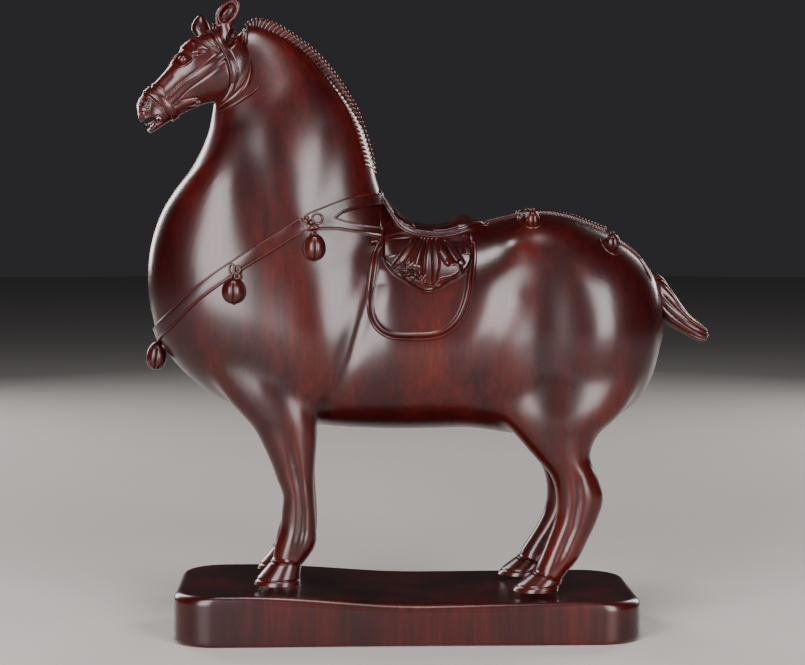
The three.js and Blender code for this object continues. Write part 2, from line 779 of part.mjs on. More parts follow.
function headSolid() {
  const skull = outlineBody(headRows, headTip, facets.head);
  const frameAt = ([x, z]) => skinFrameAt(headRows, x, z);
  const bead = ({ at, along }, { out, radius, length }) => {
    const { point, normal } = frameAt(at);
    return egg(point.addScaledVector(normal, out), vector(...along), radius, length, facets.bead);
  };
  const band = ({ path, width }) =>
    strap(sidePath(headRows, path, facets.bridle), width, bridleLift, bridleBury, bridleBevel);
  const left = [bead(eye, eyeBrow), bead(eye, eyeBall), band(cheekpiece), band(crownStrap)];
  const noseFrames = Array.from({ length: facets.noseband }, (_, index) => {
    const turn = turnAt(index, facets.noseband);
    return skinFrame(headRows, noseband.place + noseband.tilt * Math.cos(turn), turn);
  });
  const nose = ringStrap(noseFrames, noseband.width, bridleLift, bridleBury, bridleBevel);
  const wedge = (y) => [mouthCorner, ...mouthOpening].map(([x, z]) => vector(x, y, z));
  const mouth = cappedLoft([wedge(-mouthReach), wedge(mouthReach)]);
  const hollow = bead(nostril, nostril);
  const whole = joined([skull, nose, ...left, ...left.map(mirrored)]);
  return whole.subtract(mouth).subtract(hollow).subtract(mirrored(hollow)).transform(headPlace.elements);
}

function horseSolid() {
  const legs = [
    leg(foreLegRows, foreHoofRows, -1),
    leg(foreLegRows, foreHoofRows, 1),
    leg(hindLegRows, hindHoofRows, -1),
    leg(hindLegRows, hindHoofRows, 1, farHindStep),
  ];
  const saddleLeft = saddleSide();
  return joined([
    outlineBody(trunkRows, trunkTip, facets.trunk),
    ...legs,
    headSolid(),
    earSolid(nearEarRows, nearEarTip, nearEarOpening),
    earSolid(farEarRows, farEarTip, farEarOpening),
    maneSolid(),
    tailSolid(),
    seatSolid(),
    ...saddleLeft,
    ...saddleLeft.map(mirrored),
    ...harness(),
  ]);
}

function plinthTop(x) {
  return plinthHeight + plinthHeadRise * THREE.MathUtils.smoothstep(-x, plinthRise.from, plinthRise.to);
}

// Rounded outline of the plinth, drawn in by an inset.
function plinthOutline(inset) {
  const points = [];
  const radius = Math.max(plinthCorner - inset, 1);
  const halfX = plinthLength / 2 - inset - radius;
  const halfY = plinthDepth / 2 - inset - radius;
  for (let corner = 0; corner < 4; corner++) {
    const signX = corner === 0 || corner === 3 ? 1 : -1;
    const signY = corner < 2 ? 1 : -1;
    for (let step = 0; step < facets.plinthCorner; step++) {
      const turn = (Math.PI / 2) * (corner + step / (facets.plinthCorner - 1));
      points.push([signX * halfX + Math.cos(turn) * radius, signY * halfY + Math.sin(turn) * radius]);
    }
    if (corner % 2 === 0) {
      for (const share of plinthSideShares) points.push([signX * share * halfX, signY * (halfY + radius)]);
    }
  }
  return points;
}

function plinthSolid() {
  const rings = [];
  const level = (inset, height) => rings.push(plinthOutline(inset).map(([x, y]) => vector(x, y, height(x))));
  const edgeTurns = (steps) => Array.from({ length: steps + 1 }, (_, step) => (Math.PI / 2) * (step / steps));
  for (const turn of edgeTurns(facets.footRound)) {
    level(plinthFootRound * (1 - Math.sin(turn)), () => plinthFootRound * (1 - Math.cos(turn)));
  }
  for (const turn of edgeTurns(facets.topRound)) {
    const inset = plinthTopRound * (1 - Math.cos(turn));
    level(inset, (x) => plinthTop(x) - plinthTopRound * (1 - Math.sin(turn)));
  }
  for (const inset of plinthTopInsets) level(inset, plinthTop);
  const pads = [
    [foreHoofRows, -1, 0],
    [foreHoofRows, 1, 0],
    [hindHoofRows, -1, 0],
    [hindHoofRows, 1, farHindStep],
  ].map(([rows, side, forward]) => {
    const top = rows[rows.length - 1][1] - standGap;
    return cappedLoft([
      soleRing(rows, side, forward, padMargin, top - padHeight - padRoot),
      soleRing(rows, side, forward, padMargin, top - padBevel),
      soleRing(rows, side, forward, padMargin - padBevel, top),
    ]);
  });
  return joined([cappedLoft(rings), ...pads]);
}

function meshOf(name, solid, look) {
  const { vertProperties, triVerts, numProp } = solid.getMesh();
  const positions = new Float32Array((vertProperties.length / numProp) * 3);
  for (let index = 0; index < positions.length / 3; index++) {
    positions.set(vertProperties.subarray(index * numProp, index * numProp + 3), index * 3);
  }
  const geometry = new THREE.BufferGeometry();
  geometry.setAttribute("position", new THREE.BufferAttribute(positions, 3));
  geometry.setIndex(new THREE.BufferAttribute(triVerts, 1));
  const clean = mergeVertices(geometry, 1e-4);
  clean.computeVertexNormals();
  const mesh = new THREE.Mesh(clean, new THREE.MeshStandardMaterial(look));
  mesh.name = name;
  return mesh;
}

const group = new THREE.Group();
group.add(meshOf("horse", horseSolid(), hide));
group.add(meshOf("plinth", plinthSolid(), base));

export default group;
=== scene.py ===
# Carved horse in dark polished hardwood, standing on its rounded plinth.
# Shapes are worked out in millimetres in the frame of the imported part, and turned to metres as each
# piece is made.
import math

import bpy
import numpy as np
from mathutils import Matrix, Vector
from mathutils.bvhtree import BVHTree


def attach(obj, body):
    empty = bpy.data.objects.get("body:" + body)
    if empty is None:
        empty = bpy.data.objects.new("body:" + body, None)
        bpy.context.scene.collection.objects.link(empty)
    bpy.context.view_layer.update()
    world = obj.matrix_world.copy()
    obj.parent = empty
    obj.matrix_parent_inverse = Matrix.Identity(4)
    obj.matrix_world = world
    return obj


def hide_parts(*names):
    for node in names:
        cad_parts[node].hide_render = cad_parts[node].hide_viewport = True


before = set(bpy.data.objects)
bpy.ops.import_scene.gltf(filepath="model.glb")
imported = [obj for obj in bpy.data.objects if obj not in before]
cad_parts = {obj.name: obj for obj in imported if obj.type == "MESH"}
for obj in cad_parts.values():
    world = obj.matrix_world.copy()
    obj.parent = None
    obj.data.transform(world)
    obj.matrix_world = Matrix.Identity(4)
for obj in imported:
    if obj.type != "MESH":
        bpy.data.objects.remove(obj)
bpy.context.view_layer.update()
print("frame loaded")
mm = 0.001
fullTurn = 2 * math.pi


def addToScene(name, data):
    thing = bpy.data.objects.new(name, data)
    bpy.context.scene.collection.objects.link(thing)
    return thing


def meshObject(name, points, faces):
    mesh = bpy.data.meshes.new(name)
    mesh.from_pydata(np.asarray(points).tolist(), [], faces)
    return addToScene(name, mesh)


# camera, floor and light

studio = {
    "target": (-0.002, 0, 0.1785),
    "azimuth": -2,
    "elevation": 3.37,
    "distance": 1.2,
    "lens": 89.44,
    "sensor": 36,
    "clip": (0.01, 60),
    "floorRadius": 7,
    "floorDrop": 0.0002,
    "floorTone": (0.56, 0.545, 0.52),
    "floorRoughness": 0.55,
    "skyTone": (0.026, 0.025, 0.027),
    # name, place, point it looks at, width, height, watts, colour
    "lights": [
        ("boxLeft", (-0.78, -1.36, 0.46), (-0.04, 0, 0.22), 0.80, 1.30, 46, (1.0, 0.94, 0.945)),
        ("boxRight", (0.78, -1.32, 0.50), (0.05, 0, 0.2), 0.56, 1.15, 30, (1.0, 0.94, 0.945)),
        ("boxTop", (-0.06, -0.55, 1.35), (0.04, 0, 0.2), 0.26, 0.34, 6, (1.0, 0.97, 0.96)),
        ("boxFarLeft", (-0.98, 1.25, 0.75), (-0.04, 0, 0.22), 0.5, 1.1, 15, (1.0, 0.95, 0.95)),
        ("boxFarRight", (1.05, 1.2, 0.75), (0.05, 0, 0.2), 0.45, 1.0, 12, (1.0, 0.95, 0.95)),
    ],
}


def aimThing(thing, place, direction):
    thing.location = place
    thing.rotation_mode = "QUATERNION"
    thing.rotation_quaternion = direction.to_track_quat("-Z", "Y")


def makeStudio(sizes):
    azimuth, elevation = math.radians(sizes["azimuth"]), math.radians(sizes["elevation"])
    level = math.cos(elevation)
    back = Vector((math.sin(azimuth) * level, -math.cos(azimuth) * level, math.sin(elevation)))
    lens = bpy.data.cameras.new("camera")
    lens.lens, lens.sensor_width = sizes["lens"], sizes["sensor"]
    lens.clip_start, lens.clip_end = sizes["clip"]
    camera = addToScene("camera", lens)
    aimThing(camera, Vector(sizes["target"]) + back * sizes["distance"], -back)
    bpy.context.scene.camera = camera
    for name, place, aim, width, height, watts, colour in sizes["lights"]:
        data = bpy.data.lights.new(name, "AREA")
        data.shape, data.size, data.size_y = "RECTANGLE", width, height
        data.energy, data.color = watts, colour
        aimThing(addToScene(name, data), place, Vector(aim) - Vector(place))
    world = bpy.data.worlds.new("studioAir")
    bpy.context.scene.world = world
    world.use_nodes = True
    world.node_tree.nodes["Background"].inputs["Color"].default_value = (*sizes["skyTone"], 1)
    radius, drop = sizes["floorRadius"], sizes["floorDrop"]
    rim = [(radius * math.cos(turn), radius * math.sin(turn), -drop) for turn in turnsOf(64)]
    floor = meshObject("studioFloor", rim, [list(range(len(rim)))])
    floor.data.materials.append(plainMaterial("paleFloor", sizes["floorTone"], sizes["floorRoughness"]))
    print("camera, floor and light set")


# shader maths

class Wire:
    def __init__(self, tree, socket):
        self.tree, self.socket = tree, socket

    def maths(self, operation, *terms):
        return addNode(self.tree, "ShaderNodeMath", {"operation": operation}, dict(enumerate(terms)))

    def __add__(self, other):
        return self.maths("ADD", self, other)

    def __sub__(self, other):
        return self.maths("SUBTRACT", self, other)

    def __rsub__(self, other):
        return self.maths("SUBTRACT", other, self)

    def __mul__(self, other):
        return self.maths("MULTIPLY", self, other)

    def __pow__(self, other):
        return self.maths("POWER", self, other)

    __radd__, __rmul__ = __add__, __mul__

    def sine(self):
        return self.maths("SINE", self)

    def clamped(self, low=0.0, high=1.0):
        return self.maths("MINIMUM", self.maths("MAXIMUM", self, low), high)


def socketNamed(sockets, name):
    return sockets[name] if isinstance(name, int) else next(s for s in sockets if s.name == name and s.enabled)


def addNode(tree, kind, settings, inputs, output=0):
    node = tree.nodes.new(kind)
    for name, value in settings.items():
        setattr(node, name, value)
    for name, value in inputs.items():
        socket = socketNamed(node.inputs, name)
        if isinstance(value, Wire):
            tree.links.new(value.socket, socket)
        else:
            isTone = socket.type == "RGBA" and len(value) == 3
            socket.default_value = (*value, 1) if isTone else value
    return Wire(tree, socketNamed(node.outputs, output)) if node.outputs else None


def mixedTones(tree, factor, a, b):
    return addNode(tree, "ShaderNodeMix", {"data_type": "RGBA"}, {"Factor": factor, "A": a, "B": b}, "Result")


def emptyMaterial(name):
    material = bpy.data.materials.new(name)
    material.use_nodes = True
    tree = material.node_tree
    tree.nodes.clear()
    return material, tree, addNode(tree, "ShaderNodeTexCoord", {}, {}, "Object")


# hardwood

hardwood = {
    "darkTone": (0.0040, 0.0004, 0.0005),
    "midTone": (0.024, 0.0011, 0.0013),
    "redTone": (0.102, 0.0062, 0.0027),
    "heart": (0.035, 0.16),  # where the tree's centre would be, x and y
    "ringGap": 0.0052,
    "ringWaver": 0.022,
    # fields of noise: stretch along x, y and z, scale, detail, roughness, warp
    "waver": ((1, 1, 0.35), 14, 3, 0.55, 0),
    "bands": ((260, 260, 9), 1, 4, 0.6, 0.3),
    "fine": ((900, 900, 26), 1, 3, 0.6, 0),
    "broad": ((26, 26, 6), 1, 3, 0.5, 0.3),
    "pores": ((1900, 1900, 95), 1, 2, 0.5, 0),
    "smudge": ((1, 1, 1), 38, 4, 0.6, 0),
    "streakShares": (0.05, 1.1, 0.9),  # of the rings, the bands and the fine lines
    # where red glow, pores, and the stain and painted shade of the hollows begin to show in their field, and
    # how fast they grow
    "glowFrom": (0.42, 3.2),
    "poresFrom": (0.62, 9),
    "stainAndShadeFrom": (0.5, 1.6),
    "poreTone": (0.55, 0.35),  # how much of it shows, share of the dark tone
    # stain and painted shade in the hollows: how much of it shows, share of the dark tone
    "stainAndShadeTone": (0.85, 0.28),
    "rubbedTone": (0.6, 0.22, 1.1),  # growth at the raised edges, most of it, share of the red tone
    "gloss": 0.34,
    "glossShifts": (0.10, 0.22, 0.12, -0.048),  # by smudges, the hollows, pores and rubbed edges
    "sheen": 0.1,
    "coatGloss": 0.23,
    "coat": 0.85,
    "reliefShares": (0.35, 0.25, -1.0),  # of the fine lines, the bands and the pores
    "reliefDepth": 0.00004,
    "reliefStrength": 0.35,
}


def woodMaterial(name, sizes, shift=0.0, darker=1.0):
    material, tree, place = emptyMaterial(name)
    dark, mid, red = [tuple(c * darker for c in sizes[tone]) for tone in ("darkTone", "midTone", "redTone")]

    def field(name):
        stretch, scale, detail, rough, warp = sizes[name]
        vector = addNode(tree, "ShaderNodeMapping", {"vector_type": "POINT"}, {
            "Vector": place, "Location": (shift, shift * 0.7, shift * 1.3), "Scale": stretch})
        return addNode(tree, "ShaderNodeTexNoise", {"noise_dimensions": "3D"}, {
            "Vector": vector, "Scale": scale, "Detail": detail, "Roughness": rough, "Distortion": warp})

    def grown(value, start, gain):
        return ((value - start) * gain).clamped()

    # growth rings round the heart, wavering along the trunk
    offX, offY = [addNode(tree, "ShaderNodeSeparateXYZ", {}, {"Vector": place}, axis) - sizes["heart"][axis]
                  for axis in (0, 1)]
    radius = (offX * offX + offY * offY) ** 0.5 + field("waver") * sizes["ringWaver"]
    ring = (radius * (fullTurn / sizes["ringGap"])).sine()
    bands, fine = field("bands") - 0.5, field("fine") - 0.5
    ringShare, bandShare, fineShare = sizes["streakShares"]
    streak = (ring * ringShare + 0.5 + bands * bandShare + fine * fineShare).clamped()
    warm = mixedTones(tree, grown(field("broad"), *sizes["glowFrom"]), mid, red)
    grain = mixedTones(tree, streak, dark, warm)

    # pores run as short dark dashes along the grain
    pores = grown(field("pores"), *sizes["poresFrom"])
    shown, share = sizes["poreTone"]
    pored = mixedTones(tree, pores * shown, grain, tuple(c * share for c in dark))

    # the hollows are darkened with wax, stain and painted shade; the raised edges are rubbed a little lighter
    hollow = addNode(tree, "ShaderNodeAttribute", {"attribute_name": "hollow"}, {}, "Fac")
    sunk, raised = grown(hollow, *sizes["stainAndShadeFrom"]), (0.5 - hollow).clamped()
    shown, share = sizes["stainAndShadeTone"]
    stainedAndShaded = mixedTones(tree, sunk * shown, pored, tuple(c * share for c in dark))
    gain, most, share = sizes["rubbedTone"]
    rubbed = mixedTones(tree, (raised * gain).clamped(0, most), stainedAndShaded, tuple(c * share for c in red))

    roughness = sizes["gloss"]
    for part, change in zip((field("smudge") - 0.5, sunk, pores, raised), sizes["glossShifts"]):
        roughness = part * change + roughness
    fineRelief, bandRelief, poreRelief = sizes["reliefShares"]
    bump = addNode(tree, "ShaderNodeBump", {}, {
        "Strength": sizes["reliefStrength"], "Distance": sizes["reliefDepth"],
        "Height": fine * fineRelief + bands * bandRelief + pores * poreRelief})
    shader = addNode(tree, "ShaderNodeBsdfPrincipled", {}, {
        "Base Color": rubbed, "Roughness": roughness.clamped(0.08, 0.9), "Metallic": 0.0, "IOR": 1.5,
        "Specular IOR Level": sizes["sheen"], "Normal": bump,
        "Coat Weight": sizes["coat"], "Coat Roughness": sizes["coatGloss"]})
    addNode(tree, "ShaderNodeOutputMaterial", {}, {"Surface": shader})
    return material


def plainMaterial(name, tone, roughness):
    material, tree, place = emptyMaterial(name)
    speckle = addNode(tree, "ShaderNodeTexNoise", {}, {"Vector": place, "Scale": 9.0, "Detail": 3.0})
    colour = mixedTones(tree, speckle, tone, tuple(c * 0.94 for c in tone))
    shader = addNode(tree, "ShaderNodeBsdfPrincipled", {}, {"Base Color": colour, "Roughness": roughness})
    addNode(tree, "ShaderNodeOutputMaterial", {}, {"Surface": shader})
    return material


# shapes as arrays: a shape is its points and its faces

def turnsOf(count, start=0.0):
    return fullTurn * (np.arange(count) + start) / count


def unit(vectors):
    vectors = np.asarray(vectors, float)
    return vectors / np.maximum(np.linalg.norm(vectors, axis=-1, keepdims=True), 1e-12)


def smoothStep(value, low, high):
    t = np.clip((np.asarray(value, float) - low) / (high - low), 0, 1)
    return t * t * (3 - 2 * t)


def hump(value, width, power=2):
    return np.exp(-(value / width) ** power)


def signedPower(value, power):
    return np.sign(value) * np.abs(value) ** power


def alongRows(rows, place):
    # the row at a place between the given rows, on a smooth curve through them
    rows = np.asarray(rows, float)
    place = np.atleast_1d(np.asarray(place, float))
    last = len(rows) - 1
    start = np.clip(np.floor(place).astype(int), 0, last - 1)
    t = (place - start)[:, None]
    before, here = rows[np.clip(start - 1, 0, last)], rows[start]
    there, after = rows[np.clip(start + 1, 0, last)], rows[np.clip(start + 2, 0, last)]
    leave, arrive, rise = (there - before) / 2, (after - here) / 2, there - here
    return here + t * (leave + t * (3 * rise - 2 * leave - arrive + t * (leave + arrive - 2 * rise)))


def curveThrough(points, count):
    points = np.asarray(points, float)
    fine = alongRows(points, np.linspace(0, len(points) - 1, 40 * len(points)))
    length = np.concatenate([[0], np.cumsum(np.linalg.norm(np.diff(fine, axis=0), axis=1))])
    wanted = np.linspace(0, length[-1], count)
    return np.stack([np.interp(wanted, length, fine[:, k]) for k in range(points.shape[1])], axis=1)


def facesBySize(faces):
    blocks = [np.array([face for face in faces if len(face) == size], dtype=np.int64) for size in (3, 4)]
    return [block for block in blocks if len(block)]


def outwardShape(points, faces):
    # faces are turned over where they would look inwards, told by the sign of the volume
    corners = np.concatenate([block[:, [0, k, k + 1]] for block in facesBySize(faces)
                              for k in range(1, block.shape[1] - 1)])
    a, b, c = points[corners[:, 0]], points[corners[:, 1]], points[corners[:, 2]]
    if np.einsum("ij,ij->i", a, np.cross(b, c)).sum() < 0:
        faces = [tuple(reversed(face)) for face in faces]
    return points, faces


def lofted(rings, startPoint=None, endPoint=None, loop=False):
    # a skin over rings of points, closed at both ends or joined to itself
    rings = np.asarray(rings, float)
    count, around = rings.shape[:2]
    index = np.arange(count * around).reshape(count, around)
    if loop:
        index = np.concatenate([index, index[:1]])
    turned = np.roll(index, -1, axis=1)
    quads = np.stack([index[:-1], turned[:-1], turned[1:], index[1:]], axis=-1).reshape(-1, 4)
    points, faces = rings.reshape(-1, 3), [tuple(quad) for quad in quads.tolist()]
    if not loop:
        first = len(points)
        ends = [rings[0].mean(0) if startPoint is None else startPoint,
                rings[-1].mean(0) if endPoint is None else endPoint]
        points = np.concatenate([points, np.asarray(ends, float)])
        faces += [(first, b, a) for a, b in zip(index[0].tolist(), turned[0].tolist())]
        faces += [(first + 1, a, b) for a, b in zip(index[-1].tolist(), turned[-1].tolist())]
    return outwardShape(points, faces)


def merged(shapes):
    points, faces, start = [], [], 0
    for shapePoints, shapeFaces in shapes:
        points.append(shapePoints)
        faces += [tuple(corner + start for corner in face) for face in shapeFaces]
        start += len(shapePoints)
    return np.concatenate(points), faces


def mirroredShape(shape):
    points, faces = shape
    return points * [1, -1, 1], [tuple(reversed(face)) for face in faces]


def bothSides(shapes):
    return [side for shape in shapes for side in (shape, mirroredShape(shape))]


def edgePairs(faces):
    pairs = [np.stack([block, np.roll(block, -1, axis=1)], axis=-1).reshape(-1, 2)
             for block in facesBySize(faces)]
    return np.unique(np.sort(np.concatenate(pairs), axis=1), axis=0)


def relaxed(points, pairs, passes, weight=1.0, keepSize=False):
    # each pass moves points half way to the mean of their neighbours; keepSize follows it with one outwards
    a, b = pairs[:, 0], pairs[:, 1]
    count = len(points)
    degree = np.maximum(np.bincount(a, minlength=count) + np.bincount(b, minlength=count), 1)[:, None]
    weight = np.asarray(weight, float).reshape(-1, 1)
    for pull in ([0.5, -0.52] if keepSize else [0.5]) * passes:
        total = np.stack([np.bincount(a, points[b, k], count) + np.bincount(b, points[a, k], count)
                          for k in range(3)], axis=1)
        points = points + pull * weight * (total / degree - points)
    return points


def shapeNormals(points, faces):
    normals = np.zeros_like(points)
    for block in facesBySize(faces):
        corners = points[block]
        faceNormals = np.cross(corners[:, -2] - corners[:, 0], corners[:, -1] - corners[:, -3])
        for corner in block.T:
            for axis in range(3):
                normals[:, axis] += np.bincount(corner, faceNormals[:, axis], len(points))
    return unit(normals)


def afterModifier(holder, others=(), triangles=False):
    # the points and faces that a modifier leaves; what carried it is cleared away
    evaluated = holder.evaluated_get(bpy.context.evaluated_depsgraph_get())
    result = evaluated.to_mesh()
    result.calc_loop_triangles()
    points = np.array([vertex.co[:] for vertex in result.vertices])
    faces = [tuple(face.vertices) for face in (result.loop_triangles if triangles else result.polygons)]
    evaluated.to_mesh_clear()
    for thing in (holder, *others):
        mesh = thing.data
        bpy.data.objects.remove(thing)
        bpy.data.meshes.remove(mesh)
    return points, faces


def fusedShape(shapes, voxel, passes):
    # one skin round everything that overlaps, with the steps of the voxels smoothed away
    holder = meshObject("fuse", *merged(shapes))
    remesh = holder.modifiers.new("fuse", "REMESH")
    remesh.mode, remesh.voxel_size, remesh.adaptivity = "VOXEL", voxel, 0.0
    points, faces = outwardShape(*afterModifier(holder))
    pairs = edgePairs(faces)
    return relaxed(points, pairs, passes, keepSize=True), faces, pairs


def cutAway(shape, cutter):
    holder, tool = meshObject("cut", *shape), meshObject("cut", *cutter)
    boolean = holder.modifiers.new("cut", "BOOLEAN")
    boolean.operation, boolean.object, boolean.solver = "DIFFERENCE", tool, "EXACT"
    return afterModifier(holder, [tool], triangles=True)


finish = {
    "crispAngle": 48,
    "hollowPasses": 6,  # how far round a point its hollowness is felt
    "hollowGain": 1.6,
}


def makePiece(name, shape, material, nodes, hollowReach=1.0):
    points, faces = shape
    piece = meshObject(name, points * mm, faces)
    mesh = piece.data
    mesh.validate()
    # how far each point lies below (over 0.5) or above its surroundings, for the material's stain and painted
    # shade in the hollows and its rubbed edges
    pairs = edgePairs(faces)
    depth = relaxed(points, pairs, finish["hollowPasses"]) - points
    depth = np.einsum("ij,ij->i", depth, shapeNormals(points, faces)) / hollowReach
    depth = relaxed(np.repeat(depth[:, None], 3, axis=1), pairs, 2)[:, 0]
    hollow = np.clip(0.5 + depth * finish["hollowGain"], 0, 1).astype(np.float32)
    mesh.attributes.new("hollow", "FLOAT", "POINT").data.foreach_set("value", hollow)
    mesh.polygons.foreach_set("use_smooth", np.ones(len(mesh.polygons), dtype=bool))
    mesh.set_sharp_from_angle(angle=math.radians(finish["crispAngle"]))
    mesh.materials.append(material)
    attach(piece, "root")
    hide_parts(*nodes)
    print(f"{name}: {sum(len(face) - 2 for face in faces)} triangles")


class Skin:
    # a shape's surface, with the place and smooth normal nearest to a point or met from the left side;
    # inward turns places of the side view into the shape's own frame
    def __init__(self, shape, inward=np.asarray):
        self.points, self.faces = shape
        self.inward = inward
        self.normals = shapeNormals(self.points, self.faces)
        self.tree = BVHTree.FromPolygons(self.points.tolist(), self.faces)

    def framesAt(self, hits):
        places = np.array([hit[0] for hit in hits])
        normals = []
        for place, hit in zip(places, hits):
            corners = list(self.faces[hit[2]])
            reach = np.linalg.norm(self.points[corners] - place, axis=1) + 1e-6
            normals.append(unit((self.normals[corners] / reach[:, None]).sum(0)))
        return places, np.array(normals)

    def nearest(self, points):
        return self.framesAt([self.tree.find_nearest(Vector(point)) for point in np.atleast_2d(points)])

    def fromSide(self, flat):
        hits = []
        for x, z in flat:
            start, close = self.inward(np.array([(x, -200.0, z), (x, -12.0, z)]))
            hit = self.tree.ray_cast(Vector(start), Vector(unit(close - start)))
            hits.append(hit if hit[0] is not None else self.tree.find_nearest(Vector(close)))
        return self.framesAt(hits)


def tidyNormals(normals, passes=3):
    for _ in range(passes):
        padded = np.concatenate([normals[:1], normals, normals[-1:]])
        normals = unit(padded[:-2] + 2 * padded[1:-1] + padded[2:])
    return normals


def levelPath(places, passes):
    for _ in range(passes):
        places = np.concatenate([places[:1], (places[:-2] + 2 * places[1:-1] + places[2:]) / 4, places[-1:]])
    return places


def directionsOf(places, loop):
    if loop:
        return unit(np.roll(places, -1, axis=0) - np.roll(places, 1, axis=0))
    return unit(np.concatenate([places[1:], places[-1:]]) - np.concatenate([places[:1], places[:-1]]))


def ribbon(places, normals, halfWidths, profile, skin=None, loop=False):
    # profile points are share across (-1 to 1) and height over the skin; it is swept along the path
    across = unit(np.cross(directionsOf(places, loop), normals))
    halfWidths = np.broadcast_to(halfWidths, (len(places),))
    rings = []
    for share, height in profile:
        base = places + across * (halfWidths * share)[:, None]
        if skin is not None:
            base, _ = skin.nearest(base)
        rings.append(base + normals * height)
    return lofted(np.stack(rings, axis=1), loop=loop)


def tube(places, radii, loop=False, normals=None):
    along = directionsOf(places, loop)
    if normals is None:
        guide = np.array([0.0, 1.0, 0.0])
        normals = unit(guide - along * (along @ guide)[:, None])
    across = unit(np.cross(along, normals))
    lifted = unit(np.cross(across, along))
    reach = np.broadcast_to(radii, (len(places),))[:, None, None]
    turns = turnsOf(10)[None, :, None]
    level, upright = across[:, None] * (np.cos(turns) * reach), lifted[:, None] * (np.sin(turns) * reach)
    return lofted(places[:, None] + level + upright, loop=loop)


def lineOnSkin(skin, path, radius, lift, count, taper):
    places, normals = skin.fromSide(curveThrough(path, count))
    full = np.sqrt(np.clip(np.sin(math.pi * np.linspace(0, 1, count)), 0, 1))
    return tube(places + normals * lift, radius * (taper + (1 - taper) * full), normals=tidyNormals(normals))


def strapProfile(lift, bury, border=0.2):
    # flat strap with a thin raised border along both edges and a sharp foot
    edge = [(-1.0, -bury), (-1.0, lift * 0.6), (-0.96, lift), (-0.88, lift + border), (-0.78, lift + border),
            (-0.68, lift - 0.12), (-0.6, lift - 0.06), (-0.3, lift)]
    return [*edge, (0.0, lift + 0.04), *[(-share, height) for share, height in reversed(edge)]]


def ellipsoid(middle, along, radii, around=28, steps=18):
    middle, axis = np.asarray(middle, float), unit(along)
    across = unit(np.cross(axis, (0, 1, 0)))
    other = np.cross(axis, across)
    turns = turnsOf(around)[:, None]
    rings = [middle - axis * math.cos(angle) * radii[0]
             + (across * np.cos(turns) * radii[1] + other * np.sin(turns) * radii[2]) * math.sin(angle)
             for angle in math.pi * (np.arange(1, steps) / steps)]
    return lofted(rings, middle - axis * radii[0], middle + axis * radii[0])


def ringFacing(middle, radius, thick, facing=(0, -1, 0), tall=1.0):
    turns = turnsOf(32)[:, None]
    across = unit(np.cross(facing, (0, 0, 1)))
    upward = np.cross(across, unit(facing))
    ring = np.asarray(middle) + across * np.cos(turns) * radius + upward * np.sin(turns) * radius * tall
    return tube(ring, thick, True, np.tile(np.asarray(facing, float), (32, 1)))


def lineReach(flat, path):
    # distance of points seen from the side to a path, and the share along it
    best, share = np.full(len(flat), 1e9), np.zeros(len(flat))
    path = np.asarray(path, float)
    for k in range(len(path) - 1):
        step = path[k + 1] - path[k]
        t = np.clip(((flat - path[k]) @ step) / (step @ step), 0, 1)
        gap = np.linalg.norm(flat - (path[k] + t[:, None] * step), axis=1)
        closer = gap < best
        best[closer] = gap[closer]
        share[closer] = ((k + t) / (len(path) - 1))[closer]
    return best, share


def edgeReach(flat, corners):
    # distance to the edge of an area seen from the side, above zero inside it
    corners = np.asarray(corners, float)
    closed = np.concatenate([corners, corners[:1]])
    inside = np.zeros(len(flat), bool)
    for (x0, z0), (x1, z1) in zip(closed[:-1], closed[1:]):
        if z0 != z1:
            crosses = (flat[:, 1] >= min(z0, z1)) & (flat[:, 1] < max(z0, z1))
            inside ^= crosses & (flat[:, 0] < x0 + (flat[:, 1] - z0) * (x1 - x0) / (z1 - z0))
    gap, _ = lineReach(flat, closed)
    return np.where(inside, gap, -gap)


def ovalShare(flat, middle, reachAlong, reachOver, lean=0.0):
    # 0 in the middle of an oval seen from the side, 1 on its edge
    x, z = (flat - np.asarray(middle)).T
    along = x * math.cos(lean) + z * math.sin(lean)
    over = z * math.cos(lean) - x * math.sin(lean)
    return (along / reachAlong) ** 2 + (over / reachOver) ** 2


def ovalRing(row, turns, swell=0.0):
    # an oval between a front and a back edge: x and z of each, middle y, half the width
    frontX, frontZ, backX, backZ, middleY, half = row
    height = np.cos(turns)
    return np.stack([(frontX + backX) / 2 + height * ((backX - frontX) / 2 + swell),
                     middleY + np.sin(turns) * (half + swell),
                     (frontZ + backZ) / 2 + height * (backZ - frontZ) / 2], axis=-1)


# neck, trunk and legs

